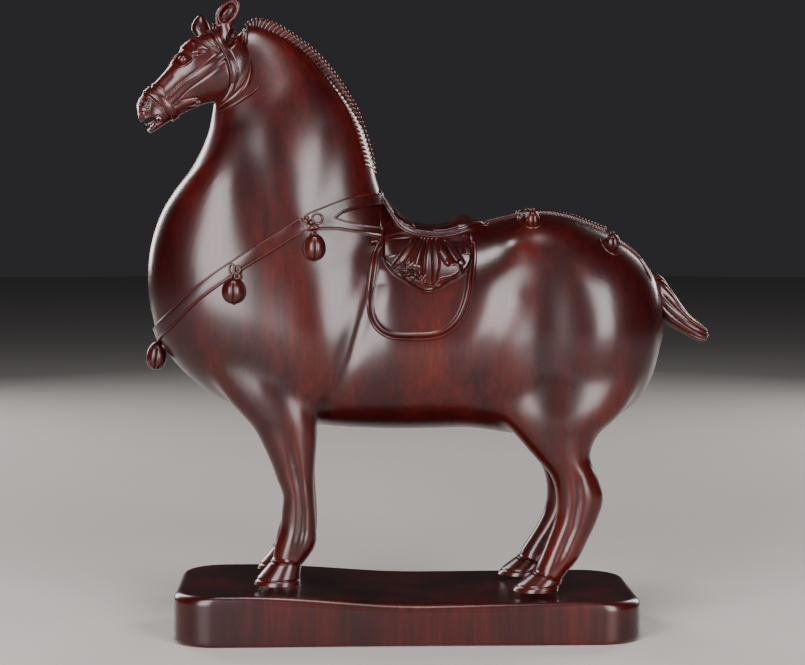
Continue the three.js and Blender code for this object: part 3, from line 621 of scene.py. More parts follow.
body = {
    # back line x and z, throat or belly line x and z, half the width, narrowing of the back
    "trunkRows": [
        (-102, 353, -113, 325, 11, 0.1), (-92, 360.5, -114, 315, 13.2, 0.2),
        (-75.5, 355.5, -117, 299, 17, 0.25), (-60, 345, -122, 286.5, 22, 0.25),
        (-48, 333, -128.5, 275, 27, 0.22), (-36.5, 318.5, -137, 264, 31, 0.2),
        (-27.5, 303, -145, 251, 34.5, 0.18), (-21.5, 286, -150.5, 236, 37.5, 0.15),
        (-17.5, 270, -153.2, 221, 40, 0.13), (-13, 258, -153.6, 206, 42, 0.1),
        (-8.4, 249, -151.5, 190, 43.5, 0.08), (-2, 243.5, -146, 173, 44.5, 0.06),
        (6, 241.5, -132, 155, 45.3, 0.05), (14.4, 240.5, -110, 139, 45.8, 0.05),
        (24, 240.4, -81.5, 128, 46, 0.06), (34.5, 241.2, -45.5, 123, 46, 0.08),
        (45.6, 243.6, -12.5, 121.2, 46, 0.08), (57.6, 246.6, 14.5, 121.2, 46, 0.06),
        (71.4, 249.2, 38.4, 121.4, 46.2, 0.03), (85.2, 249.6, 59.4, 118.6, 46.4, 0),
        (98.4, 247.2, 77.4, 116.2, 46, 0), (111.6, 242.4, 93.6, 116.2, 44.5, 0),
        (123.6, 237, 108, 119.5, 42, 0), (134.4, 229.8, 120.6, 124.5, 38, 0),
        (143.2, 220.6, 132, 131.4, 32.5, 0), (149.2, 210.5, 141.6, 140.4, 25.5, 0),
        (153, 199, 148.2, 153, 16.5, 0),
    ],
    "trunkTip": (155.4, 0, 178),
    "trunkGrid": (200, 150),
    "roundness": 0.88,
    # places where the trunk is drawn in: x and z of the middle, reach along x and z, share of the width
    "waists": [(-31, 196, 15, 44, 0.085), (77, 190, 21, 46, 0.125)],
    # legs: front edge x and z, back edge x and z, middle y, half the thickness
    "foreLegRows": [
        (-118, 158, -58, 168, 24, 14), (-108, 143, -55, 148, 24.5, 15), (-97, 131, -53.2, 134, 25, 14),
        (-89.5, 122.5, -52.8, 124, 25.3, 12.6), (-81, 105, -54, 106, 25.6, 10.8),
        (-77, 94, -54.8, 95, 25.8, 9.7), (-73.6, 84.5, -54.6, 84.5, 26, 9.2),
        (-74, 75, -54, 75, 26.2, 8.6), (-75, 65, -53.6, 64.5, 26.4, 8.4),
        (-77.4, 57, -54, 55.5, 26.6, 8.8), (-79, 50.5, -58, 48.5, 26.8, 8.6),
        (-79.4, 44.5, -62.6, 43, 27, 8.2),
    ],
    "hindLegRows": [
        (44, 152, 142, 158, 22, 18), (54, 130, 129, 134, 23.5, 18.5), (65, 117.5, 113, 119, 25, 15.5),
        (76, 105.5, 108.2, 106, 26, 12.6), (84.6, 95, 112.6, 93.5, 26.4, 11),
        (87.8, 84, 115.8, 81.5, 26.8, 10.2), (87.6, 71.5, 112.6, 69.5, 27, 9.4),
        (83.4, 58.5, 106.8, 57, 27.2, 8.9), (79, 47.5, 101.5, 46.5, 27.4, 9),
        (76.6, 42, 95, 38.6, 27.5, 9), (75.6, 36.5, 90, 32, 27.6, 8.8),
    ],
    "legGrid": (90, 44),
    "farStep": (4.5, 66, 38),  # the far hind leg stands forward: by how much, from which height, fully at which
    "voxel": 1.5,
    "baseSmooth": 4,
    "jointSmooth": 34,
    "jointReach": 13,
    "jointZone": ((-130, 170), (96, 185)),
    "jointWeight": (1.5, 0.8),  # gain and softness
    # soft hollows along a line seen from the side: the line, width, depth
    "hollows": [
        ([(-20, 210), (-31, 180), (-46, 140)], 6, 1.7),
        ([(60, 200), (50, 172), (42, 146)], 11, 1.6),
        ([(-96, 300), (-78, 236)], 12, 1.1),
        ([(-40, 296), (-48, 250)], 10, 0.9),
    ],
    # soft swellings seen from the side: x, z, reach along x, reach along z, height
    "swells": [
        (61.5, 233, 8, 7, 1.1), (-100, 180, 22, 26, 1.2), (-62, 176, 18, 34, 1.2), (118, 182, 20, 30, 1),
        (10, 165, 34, 26, 0.6), (-108, 268, 14, 30, 0.8),
    ],
    # a groove down the outer and inner side of each leg: x and z, depth, width
    "foreGroove": [(-71.5, 129), (-66.8, 108), (-63.4, 90), (-62, 76), (-62.8, 64), (-66.6, 50)],
    "hindGroove": [(95, 106), (98.6, 93), (99.8, 82), (97, 66), (91.2, 52), (86, 41)],
    "grooveDepth": 1.15,
    "grooveWidth": 2.3,
}


def bodyPoint(rows, place, turn):
    topX, topZ, lowX, lowZ, half, narrow = alongRows(rows, place).T
    height, fullness = np.cos(turn), signedPower(np.sin(turn), body["roundness"])
    x = (topX + lowX) / 2 + height * (topX - lowX) / 2
    z = (topZ + lowZ) / 2 + height * (topZ - lowZ) / 2
    drawnIn = sum(share * np.exp(-((x - atX) / reachX) ** 2 - ((z - atZ) / reachZ) ** 4)
                  for atX, atZ, reachX, reachZ, share in body["waists"])
    return np.stack([x, -half * fullness * (1 - narrow * height) * (1 - drawnIn), z], axis=-1)


def bodyLoft(rows, tip, steps, around):
    places = np.linspace(0, len(rows) - 1, steps)
    return lofted([bodyPoint(rows, np.full(around, place), turnsOf(around)) for place in places], endPoint=tip)


def bodyPlaces(rows, flat):
    # the row and turn of each left skin point that is seen at x and z from the side
    x, z = np.atleast_2d(np.asarray(flat, float)).T

    def offLine(place):
        topX, topZ, lowX, lowZ = alongRows(rows, place)[:, :4].T
        return (lowX - topX) * (z - topZ) - (lowZ - topZ) * (x - topX)
    low, high = np.zeros(len(x)), np.full(len(x), len(rows) - 1.0)
    startSign = np.sign(offLine(low))
    for _ in range(36):
        half = (low + high) / 2
        same = np.sign(offLine(half)) == startSign
        low, high = np.where(same, half, low), np.where(same, high, half)
    topX, topZ, lowX, lowZ = alongRows(rows, low)[:, :4].T
    reach = (topX - lowX) ** 2 + (topZ - lowZ) ** 2
    height = ((2 * x - topX - lowX) * (topX - lowX) + (2 * z - topZ - lowZ) * (topZ - lowZ)) / reach
    return low, np.arccos(np.clip(height, -1, 1))


def bodyFrames(rows, place, turn):
    small = 0.02
    points = bodyPoint(rows, place, turn)
    along = bodyPoint(rows, place + small, turn) - bodyPoint(rows, place - small, turn)
    around = bodyPoint(rows, place, turn + small) - bodyPoint(rows, place, turn - small)
    normals = unit(np.cross(along, around))
    middle = (bodyPoint(rows, place, turn * 0) + bodyPoint(rows, place, turn * 0 + math.pi)) / 2
    normals[np.einsum("ij,ij->i", normals, points - middle) < 0] *= -1
    return points, normals


def farStepAt(height):
    step, top, foot = body["farStep"]
    return step * smoothStep(top - height, 0, top - foot)


def legLoft(rows, side, far, steps, around):
    turns, rings = turnsOf(around, 0.5), []
    for place in np.linspace(0, len(rows) - 1, steps):
        ring = ovalRing(alongRows(rows, place)[0], turns) * [1, side, 1]
        if far:
            ring[:, 0] -= farStepAt(ring[:, 2])
        rings.append(ring)
    return lofted(rings)


def makeBody(sizes):
    trunk = bodyLoft(sizes["trunkRows"], sizes["trunkTip"], *sizes["trunkGrid"])
    legs = [legLoft(sizes[rows], side, rows == "hindLegRows" and side > 0, *sizes["legGrid"])
            for rows in ("foreLegRows", "hindLegRows") for side in (-1, 1)]
    points, faces, pairs = fusedShape([trunk, *legs], sizes["voxel"], sizes["baseSmooth"])
    # fillet where the legs grow out of the trunk: smooth most where both surfaces are near
    trees = [BVHTree.FromPolygons(shape[0].tolist(), shape[1]) for shape in (trunk, merged(legs))]
    (lowX, highX), (lowZ, highZ) = sizes["jointZone"]
    x, _, z = points.T
    reach, weight = sizes["jointReach"], np.zeros(len(points))
    for k in np.where((x > lowX) & (x < highX) & (z > lowZ) & (z < highZ))[0]:
        gaps = [tree.find_nearest(Vector(points[k]), reach)[3] for tree in trees]
        if None not in gaps:
            weight[k] = (1 - gaps[0] / reach) * (1 - gaps[1] / reach)
    gain, softness = sizes["jointWeight"]
    points = relaxed(points, pairs, sizes["jointSmooth"], np.clip(weight * gain, 0, 1) ** softness)
    normals = shapeNormals(points, faces)
    flat = points[:, [0, 2]]
    # relief on what looks sideways
    sideways, outerSide = [smoothStep(np.abs(normals[:, 1]), *span) for span in ((0.15, 0.75), (0.3, 0.8))]
    shift = np.zeros(len(points))
    for path, width, depth in sizes["hollows"]:
        shift -= depth * hump(lineReach(flat, path)[0], width) * sideways
    for x, z, reachX, reachZ, height in sizes["swells"]:
        shift += height * np.exp(-ovalShare(flat, (x, z), reachX, reachZ)) * sideways
    for name in ("foreGroove", "hindGroove"):
        moved = flat.copy()
        if name == "hindGroove":
            moved[:, 0] += np.where(points[:, 1] > 0, farStepAt(points[:, 2]), 0)
        gap, share = lineReach(moved, sizes[name])
        fade = smoothStep(share, 0.0, 0.25) * (1 - 0.6 * smoothStep(share, 0.85, 1.0))
        shift -= sizes["grooveDepth"] * hump(gap, sizes["grooveWidth"]) * fade * outerSide
    points = relaxed(points + normals * shift[:, None], pairs, 2, keepSize=True)
    print("trunk and legs blended")
    return points, faces


# hooves

hooves = {
    # front edge x and z, back edge x and z, middle y, half the width, from the crown to the sole
    "foreRows": [(-80, 46.8, -61.4, 45.8, 27, 9.2), (-82, 43.6, -62, 43.4, 27, 10),
                 (-87.8, 36.4, -62.4, 36.6, 27, 12), (-90, 32.1, -62.4, 32.1, 27, 12.8)],
    "hindRows": [(75.6, 38.8, 91.4, 34, 27.6, 9.6), (72.4, 36.6, 91.6, 32.4, 27.6, 10.6),
                 (65.4, 31, 90, 29.8, 27.6, 12.4), (63, 27.5, 89.6, 27.5, 27.6, 12.8)],
    "around": 64,
    "wallSteps": 78,
    "crownPlaces": (-0.18, -0.1, -0.03),  # rings that close in over the crown
    "crownClosing": (1.6, 2.2),  # how far they draw in and rise
    # place or height over the sole, width, height of the swelling, below zero for a groove
    "coronet": (0.22, 0.16, 0.7),
    "coronetFoot": (0.62, 0.12, -0.42),
    "groove": (3.0, 0.55, -0.45),
    "toeRidge": (math.pi, 0.3, 0.5),
    "heelCleft": (0, 0.22, -1.3),
}


def makeHoof(rows, side, forward, sizes):
    turns, rings = turnsOf(sizes["around"]), []
    sole, crown = rows[-1][1], (rows[0][1] + rows[0][3]) / 2
    drawIn, rise = sizes["crownClosing"]

    def feature(name, value):
        at, width, height = sizes[name]
        return height * hump(value - at, width)
    for place in [*sizes["crownPlaces"], *np.linspace(0, len(rows) - 1, sizes["wallSteps"])]:
        row = alongRows(rows, max(place, 0))[0]
        z = ovalRing(row, turns)[:, 2]
        closing = float(smoothStep(-place, 0, -sizes["crownPlaces"][0]))
        toe = feature("toeRidge", turns) * (1 - (z.mean() - sole) / (crown - sole))
        cleft = feature("heelCleft", turns) + feature("heelCleft", fullTurn - turns)
        swell = (feature("coronet", place) + feature("coronetFoot", place) - drawIn * closing
                 + feature("groove", z - sole) + toe + cleft * smoothStep(place, 0.2, 1.0))
        rings.append(ovalRing(row, turns, swell) * [1, side, 1] + [-forward, 0, rise * closing])
    return lofted(rings)


def makeHooves(sizes):
    fore, hind, farStep = sizes["foreRows"], sizes["hindRows"], body["farStep"][0]
    return merged([makeHoof(rows, side, forward, sizes) for rows, side, forward in (
        (fore, -1, 0), (fore, 1, 0), (hind, -1, 0), (hind, 1, farStep))])


# head, drawn straight ahead and then turned to the left about the poll

head = {
    # forehead line x and z, jaw line x and z, half the width, narrowing of the top
    "rows": [
        (-92, 352, -88, 326, 13.6, 0.05), (-106, 357.5, -96, 321, 15.8, 0.05),
        (-118, 356.5, -103, 318, 14.4, 0), (-127, 352.5, -111, 316.5, 13.2, -0.06),
        (-133.5, 346.8, -119, 314.6, 12.2, -0.12), (-139.5, 338.3, -127, 311.5, 10, -0.12),
        (-146, 330.4, -136, 306.9, 8.2, -0.05), (-152, 323.9, -143.5, 302.3, 7.3, 0.05),
        (-157, 319, -148.5, 298.9, 7.1, 0.1), (-160, 313.3, -152.6, 296.6, 6, 0.1),
    ],
    "tip": (-159.2, 0, 304.5),
    "grid": (130, 88),
    "poll": (-104, -1),
    "turn": math.radians(16),
    "voxel": 0.42,
    "smooth": 4,
    # from the corner along the upper lip, out, and back along the lower lip
    "mouth": [(-147.4, 305.2), (-148, 306.9), (-151.9, 306.7), (-155.3, 304.9), (-159.6, 302.2),
              (-166, 299), (-160, 291), (-154.8, 297.6), (-152.7, 299.9), (-150.6, 301.6), (-148.3, 303)],
    "tongue": [(-146.5, 305.4), (-150.6, 304.7), (-155.4, 302.4), (-154.6, 301.2), (-150.6, 302.6),
               (-146.5, 303.6)],
    "tongueHalf": 2.6,
    # eye and nostril: place, reach along, reach across, lean
    "socket": ((-131.2, 340.3), 5.4, 3.7, 0.25, 1.25),
    "nostril": ((-153.7, 314.5), 3.5, 2.2, 1.25, 0.6),
    "nostrilHole": ((-153.9, 314.4), 2.5, 1.35, 1.25, 2.6),
    # lines on the skin seen from the side: path, width, depth (a groove) or height (a ridge, below zero)
    "lines": [
        # fold over the lid
        ([(-133.8, 343.9), (-132, 345.8), (-129.9, 346.3), (-127.3, 345.2), (-125.1, 343.5)], 0.5, 0.55),
        ([(-133.4, 346.6), (-130.6, 348.6), (-127.3, 350), (-124.4, 350.4)], 2.1, -0.95),  # brow
        ([(-123.9, 345.4), (-119.4, 346), (-115, 344.8)], 1.7, -0.3),  # temple
        ([(-125.8, 343.3), (-122, 343.2), (-118.7, 343.9)], 0.45, 0.75),  # corner of the eye
        ([(-125.4, 341.4), (-122, 341.8)], 0.45, 0.6),
        ([(-138.4, 337.6), (-136.9, 340.1), (-135.4, 342.5)], 0.55, -0.6),  # before the eye
        ([(-136.7, 331.8), (-140.9, 327.1), (-144.5, 323.4)], 2.4, 0.4),  # beside the nose
        ([(-150.2, 316.1), (-150.8, 312.4), (-151.5, 310.7)], 0.55, 0.5),  # behind the nostril
        ([(-154.8, 309), (-153.4, 306.6)], 2.3, -0.6),  # upper lip
        ([(-145, 304.6), (-148.6, 300.8)], 1.2, -0.4),  # lower lip
    ],
    "cheek": ((-107.5, 328.6), 12.5, 13, 0, -3),
    "earHollow": ((-103.2, 352.6), 5.4, 3, 1.2, 2.4),
    "trench": (0.5, 0.5),  # sunk line at the foot of each strap: width, depth
}


def turnedFlat(points, angle):
    # turned about an upright axis
    cosine, sine = math.cos(angle), math.sin(angle)
    x, y, z = points.T
    return np.stack([cosine * x - sine * y, sine * x + cosine * y, z], axis=-1)


def onHead(points):
    x, y = head["poll"]
    return turnedFlat(points - [x, 0, 0], head["turn"]) + [x, y, 0]


def offHead(points):
    x, y = head["poll"]
    return turnedFlat(points - [x, y, 0], -head["turn"]) + [x, 0, 0]


def turnedHead(shape):
    return onHead(shape[0]), shape[1]


def prism(outline, half):
    x, z = np.asarray(outline, float).T
    return lofted([np.stack([x, np.full(len(x), y), z], axis=-1) for y in (-half, half)])


def makeSkull(sizes, straps):
    skull = cutAway(bodyLoft(sizes["rows"], sizes["tip"], *sizes["grid"]), prism(sizes["mouth"], 16))
    tongue = prism(sizes["tongue"], sizes["tongueHalf"])
    points, faces, pairs = fusedShape([skull, tongue], sizes["voxel"], sizes["smooth"])
    normals = shapeNormals(points, faces)
    # both sides are looked at as the left one, with the head turned
    flip = np.where(points[:, 1:2] > 0, -1, 1) * np.array([0, 1, 0]) + [1, 0, 1]
    flat = onHead(points * flip)[:, [0, 2]]
    sideways = smoothStep(-turnedFlat(normals * flip, sizes["turn"])[:, 1], -0.05, 0.35)
    shift = np.zeros(len(points))
    for name, power in (("cheek", 1.6), ("socket", 2), ("nostrilHole", 2), ("earHollow", 2)):
        *oval, depth = sizes[name]
        shift -= depth * np.exp(-ovalShare(flat, *oval) ** power)
    middle, along, over, lean, height = sizes["nostril"]
    shift += height * np.exp(-ovalShare(flat, middle, along * 1.3, over * 1.4, lean) ** 2)
    for path, width, depth in sizes["lines"]:
        gap, share = lineReach(flat, curveThrough(path, 14))
        shift -= depth * hump(gap, width) * smoothStep(share, -0.05, 0.2) * (1 - smoothStep(share, 0.8, 1.05))
    trench, (width, depth) = np.zeros(len(points)), sizes["trench"]
    for name in ("cheekpiece", "crown", "noseband", "chin", "browband"):
        path, half = straps[name]
        gap, _ = lineReach(flat, curveThrough(path, 30))
        trench = np.maximum(trench, depth * hump(gap - half - width * 0.6, width))
    carved, uncut = [(relaxed(points + normals * (lift * sideways)[:, None], pairs, 1, keepSize=True), faces)
                     for lift in (shift - trench, shift)]
    print("skull carved")
    return carved, uncut


bridle = {
    # path seen from the side, half the width
    "noseband": ([(-151.6, 321.8), (-148.2, 319.5), (-144.8, 316.9), (-141.7, 314), (-138.8, 311.4),
                  (-137.1, 308.4)], 2.3),
    "noseThin": ([(-149.5, 325.4), (-146.3, 324.3), (-143.7, 322.7), (-141, 320.7)], 0.65),
    "lowerBand": ([(-152.8, 318.9), (-149, 316.4), (-145.6, 313.6), (-142.4, 310)], 0.6),
    "lipLine": ([(-150.6, 315.7), (-148.4, 314.6), (-146.1, 312.4), (-143.4, 309.6), (-142, 307.1),
                 (-142.4, 305.2)], 0.6),
    "cheekpiece": ([(-106.6, 342.4), (-108.4, 341.1), (-112.4, 337.7), (-115.5, 335.2), (-119.4, 332.3),
                    (-123.1, 329.4), (-127.3, 326.3), (-131.2, 323.3), (-134.1, 320.3), (-136.7, 317.6),
                    (-139.6, 314.9)], 2.7),
    "crown": ([(-112.2, 355.6), (-111.1, 353.4), (-108.5, 348.5), (-105.8, 343.8), (-103.5, 339.1),
               (-101.9, 333.8), (-101.4, 329.7), (-101.8, 326), (-103, 322.9), (-104.8, 319.4),
               (-106.6, 316.4)], 2.1),
    "browband": ([(-123.8, 352), (-121.4, 351.6), (-119, 350.6), (-115.8, 348.4), (-113.2, 346.3),
                  (-109.6, 344.2)], 1.3),
    "chin": ([(-137, 310.4), (-135, 311.2), (-131.1, 313.4), (-127.3, 314.3), (-123.4, 315.1)], 2.2),
    "buckle": (-122.4, 315.3),
    "nosebandLift": 1.0,
    "nosebandOver": (-1.2, 0, 1.0),  # from its side path to over the nose and under the jaw
    "nosebandUnder": (1.5, 0, -1.2),
    # lift, share of the width at the ends, border, and the step that carries the start over to the middle
    "fit": {
        "cheekpiece": (0.75, 0.82, 0.24, None),
        "chin": (0.6, 0.85, 0.12, None),
        "crown": (1.1, 1, 0.24, (-2.4, 0, 4)),
        "browband": (0.8, 1, 0.2, (-2.4, 0, 1.4)),
        "noseThin": (0.6, 0.7, 0, (-1.2, 0, 1)),
        "lowerBand": (0.5, 0.7, 0, (-1.2, 0, 1)),
        "lipLine": (0.5, 0.7, 0, None),
    },
}


def strapOnHead(skin, path, half, lift, ends, border, toMiddle):
    count = 56
    places, _ = skin.fromSide(curveThrough(path, count))
    if toMiddle is not None:
        places = np.concatenate([[places[0] * [1, 0, 1] + toMiddle], places])
        places, _ = skin.nearest(curveThrough(places, count * 2))
    places, normals = skin.nearest(levelPath(curveThrough(places, count), 6))
    widths = half * (ends + (1 - ends) * np.sin(math.pi * np.linspace(0, 1, count)) ** 0.5)
    return ribbon(places, tidyNormals(normals, 6), widths, strapProfile(lift, 1.1, border), skin)


def makeNoseband(skin, sizes):
    # closed band: the side path, carried over the nose and under the jaw to the other side
    path, half = sizes["noseband"]
    side, _ = skin.fromSide(curveThrough(path, 24))
    over = side[0] * [1, 0, 1] + sizes["nosebandOver"]
    under = side[-1] * [1, 0, 1] + sizes["nosebandUnder"]
    whole = np.concatenate([[over], side, [under], side[::-1] * [1, -1, 1], [over]])
    places, _ = skin.nearest(curveThrough(whole, 181)[:-1])
    places, normals = skin.nearest(curveThrough(np.concatenate([places, places[:1]]), 141)[:-1])
    profile = strapProfile(sizes["nosebandLift"], 1.2)
    return ribbon(places, tidyNormals(normals, 5), half, profile, skin, loop=True)


def makeBridle(skin, sizes):
    sides = [strapOnHead(skin, *sizes[name], *fit) for name, fit in sizes["fit"].items()]
    place, normal = skin.fromSide([sizes["buckle"]])
    sides.append(ellipsoid(place[0] + normal[0] * 0.3, (0.9, 0, 0.3), (2.0, 1.5, 1.1)))
    return merged([makeNoseband(skin, sizes), *bothSides(sides)])


eye = {
    "ball": ((-131.3, 340), 2.9, 2.05),  # place, radius, how far it stands out
    # path, radius, height over the skin
    "lids": [
        ([(-137.4, 336.9), (-135.5, 340.5), (-133.3, 343), (-130.4, 343.9), (-127.5, 342.6),
          (-124.9, 340.2)], 0.72, 0.5),
        ([(-137.4, 336.9), (-134.6, 336), (-132, 335.4), (-129.4, 336), (-127, 337.8), (-124.9, 340.2)],
         0.6, 0.35),
    ],
    "lips": [
        ([(-156, 303.1), (-152.2, 305.3), (-148.9, 307.3), (-145.4, 307.6)], 0.45, 0),
        ([(-143.7, 305.6), (-143.7, 303), (-146.2, 301.3), (-148.4, 299.4), (-149.9, 297.6)], 0.5, 0),
    ],
    "ballShape": (1.08, 1, 0.98),
    "ballAxis": (0.94, 0, 0.34),
    "nostrilRim": 0.66,
    "rimShare": 0.93,  # of the nostril's oval
}


def makeFace(skin, sizes):
    spot, radius, out = sizes["ball"]
    place, normal = skin.fromSide([spot])
    radii = [radius * share for share in sizes["ballShape"]]
    sides = [ellipsoid(place[0] - normal[0] * (radius - out), sizes["ballAxis"], radii)]
    for path, thick, lift in (*sizes["lids"], *sizes["lips"]):
        sides.append(lineOnSkin(skin, path, thick, lift, 40, 0.3))
    (middleX, middleZ), along, over, lean, _ = head["nostril"]
    turns, share = turnsOf(48), sizes["rimShare"]
    along, over = np.cos(turns) * along * share, np.sin(turns) * over * share
    rim = np.stack([middleX + along * math.cos(lean) - over * math.sin(lean),
                    middleZ + along * math.sin(lean) + over * math.cos(lean)], axis=-1)
    places, normals = skin.fromSide(rim)
    for _ in range(4):
        places = (np.roll(places, 1, axis=0) + 2 * places + np.roll(places, -1, axis=0)) / 4
    sides.append(tube(places + normals * 0.15, sizes["nostrilRim"], True, tidyNormals(normals)))
    return merged(bothSides(sides))


ears = {
    # front edge x and z, back edge x and z, middle y, half the depth
    "nearRows": [(-114.5, 345, -96.5, 343.5, -7.5, 5.4), (-113, 351, -97, 349.5, -8, 4.8),
                 (-111, 356, -99.4, 355, -8.5, 4.2), (-111, 360.4, -102, 359.8, -9, 3.7),
                 (-112.2, 365.6, -100.2, 364.2, -9.5, 4), (-110.4, 370.2, -98.7, 368.6, -9.9, 3.6),
                 (-106, 373.8, -98.4, 372, -10.3, 2.6)],
    "nearTip": (-99.6, -10.6, 375.6),
    "farRows": [(-122, 349, -110, 345, 5.6, 5), (-125, 354.4, -113.6, 351.6, 6.4, 4.6),
                (-127.6, 359.6, -115.6, 357.2, 7.2, 4.2), (-126.6, 364, -117.2, 362.2, 7.9, 3.6),
                (-124.4, 366.9, -119.4, 366.1, 8.5, 2.5), (-123.2, 368.1, -120.8, 367.6, 8.9, 1.4)],
    "farTip": (-122, 9, 368.6),
    "voxel": 0.34,
    "farCup": ((-128.6, 2.6, 360.2), (0.2, 0, 1), (7.6, 3.6, 3.4)),
    "footHollow": ((-102.6, -14, 353.6), (0.42, 0, 1), (6.4, 3, 7)),
    # the leaf shaped cup of the near ear and the oval of its rim
    "cup": ((-105.2, -14, 367.2), (0.58, 0, 0.81), (7.4, 4.1, 4.6)),
    "rim": [(-111, 359.6), (-111.6, 363.4), (-110.8, 367.1), (-109, 370.2), (-106.1, 372.6), (-103, 374.2),
            (-100.4, 374.7), (-99.2, 372.9), (-99.1, 370.2), (-100, 366.8), (-101.9, 363.8),
            (-104.8, 361.7), (-107.6, 360.7)],
    "rimRadius": 0.8,
    "ridge": [(-108.6, -10.6, 364), (-107.4, -11.2, 366), (-105.8, -11.4, 368.2), (-104, -11, 370)],
    # rim: how far out it stands in the middle, and how it bends back towards its ends
    "rimOut": (-12, 0.7, 8),
    "ridgeRadius": 0.95,
    # tuft of hair between the ears and a leaf of hair behind each: middle, direction, radii
    "tufts": [
        ((-114.1, -0.75, 358.6), (0.025, 0, 1), (4, 1.6, 1.9)),
        ((-112.6, 0, 358.6), (0.1, 0, 1), (4, 1.6, 1.9)),
        ((-111.1, 0.75, 358.6), (0.175, 0, 1), (4, 1.6, 1.9)),
        ((-94.4, -12, 353.8), (0.08, 0, 1), (4.4, 1.3, 1.9)),
        ((-94.4, 12, 353.8), (0.08, 0, 1), (4.4, 1.3, 1.9)),
    ],
}


def earLeaf(rows, tip):
    places = [share * (len(rows) - 1) for share in np.linspace(0, 1, 44)]
    return lofted([ovalRing(alongRows(rows, place)[0], turnsOf(48)) for place in places], endPoint=tip)


def makeEars(sizes):
    near = earLeaf(sizes["nearRows"], sizes["nearTip"])
    for hollow in ("footHollow", "cup"):
        near = cutAway(near, ellipsoid(*sizes[hollow]))
    far = cutAway(earLeaf(sizes["farRows"], sizes["farTip"]), ellipsoid(*sizes["farCup"]))
    leaves = [fusedShape([leaf], sizes["voxel"], passes)[:2] for leaf, passes in ((near, 4), (far, 12))]
    rim = curveThrough([*sizes["rim"], sizes["rim"][0]], 97)[:-1]
    out, bend, reach = sizes["rimOut"]
    share = (rim - rim.mean(0)) @ unit(sizes["cup"][1])[[0, 2]] / reach
    rim = np.stack([rim[:, 0], out + bend * share ** 2, rim[:, 1]], axis=-1)
    rim = tube(rim, sizes["rimRadius"], True, np.tile([0.0, -1.0, 0.0], (len(rim), 1)))
    ridge = tube(curveThrough(sizes["ridge"], 24), sizes["ridgeRadius"] * np.sin(np.linspace(0.35, 2.9, 24)))
    return merged([*leaves, rim, ridge, *[ellipsoid(*tuft) for tuft in sizes["tufts"]]])


throat = {
    "steps": 60,
    # crescents where the head meets the neck: path on the neck, half widths along it, lift
    "crescents": {
        "wide": ([(-91.9, 339.5), (-91.4, 334.3), (-92.6, 329.1), (-94.5, 324.7), (-97.3, 321.2),
                  (-101.2, 317.7), (-105.7, 314.6), (-110.1, 310.8)],
                  [0.4, 1.5, 2.2, 2.7, 3, 2.7, 1.8, 0.5], 1.5),
        "thin": ([(-85.2, 324.7), (-90.1, 320.4), (-95.3, 316.7), (-100.5, 313.5), (-105.7, 310.8),
                  (-110.3, 308.7)], [0.4, 1, 1.2, 1.2, 1, 0.5], 1),
        "link": ([(-93.3, 330.6), (-95.7, 326.8), (-98.6, 323.3), (-100.6, 320.6)], [0.5, 0.85, 0.85, 0.5],
                 1.2),
        "crownEnd": ([(-101.5, 331.5), (-101.7, 326.5), (-103, 322.2), (-105, 318.4), (-107.6, 315.2)],
                     [1.4, 2.1, 2.1, 1.9, 1.2], 1.3),
        "earStrap": ([(-95.8, 358.2), (-95.4, 354.6), (-96.2, 350.4), (-98, 346.4), (-100.4, 342.4)],
                     [0.5, 0.85, 0.9, 0.9, 0.6], 1),
    },
    # share across and share of the lift, from the front edge to the back
    "crest": [(-0.94, 0.6), (-0.8, 0.85), (-0.6, 0.8), (-0.45, 0.45), (-0.3, 0.8), (0.1, 1), (0.5, 0.95),
              (0.85, 0.6)],
    "bury": 1.4,
}


def makeThroat(skin, sizes):
    sides, count, bury = [], sizes["steps"], sizes["bury"]
    for path, halves, lift in sizes["crescents"].values():
        places, normals = skin.fromSide(curveThrough(path, count))
        widths = np.interp(np.linspace(0, 1, count), np.linspace(0, 1, len(halves)), halves)
        crest = [(share, lift * height) for share, height in sizes["crest"]]
        crest = [(-1, -bury), (-1, 0.1), *crest, (1, 0.1), (1, -bury)]
        sides.append(ribbon(levelPath(places, 3), tidyNormals(normals, 8), widths, crest, skin))
    return merged(bothSides(sides))


mane = {
    # outer edge in the middle plane, from between the ears to the withers
    "edge": [(-96, 362.5), (-88, 366), (-77, 363), (-62.5, 354), (-51, 344.4), (-39.4, 330.4),
             (-29.2, 314), (-23.4, 299), (-19, 284), (-17.4, 274)],
    "ribs": 46,
    "stepsPerRib": 12,
    "halfWidth": 2.5,
    "lift": 1.25,
    "depths": [0, 0.35, 0.9, 1.7, 2.6, 3.5, 4.4, 5.2, 5.9, 6.4],  # rings of points below the outer edge
    "ribDepth": 1.0,
    "slant": 0.11,
    "serration": 1.0,
    "endWidth": 0.6,  # share of the width at both ends
    "endReach": 0.03,
    "crownReach": 2.2,  # depth over which the outer edge rounds over
    "foot": (0.8, 3.4),  # how far the last ring goes on inwards
}


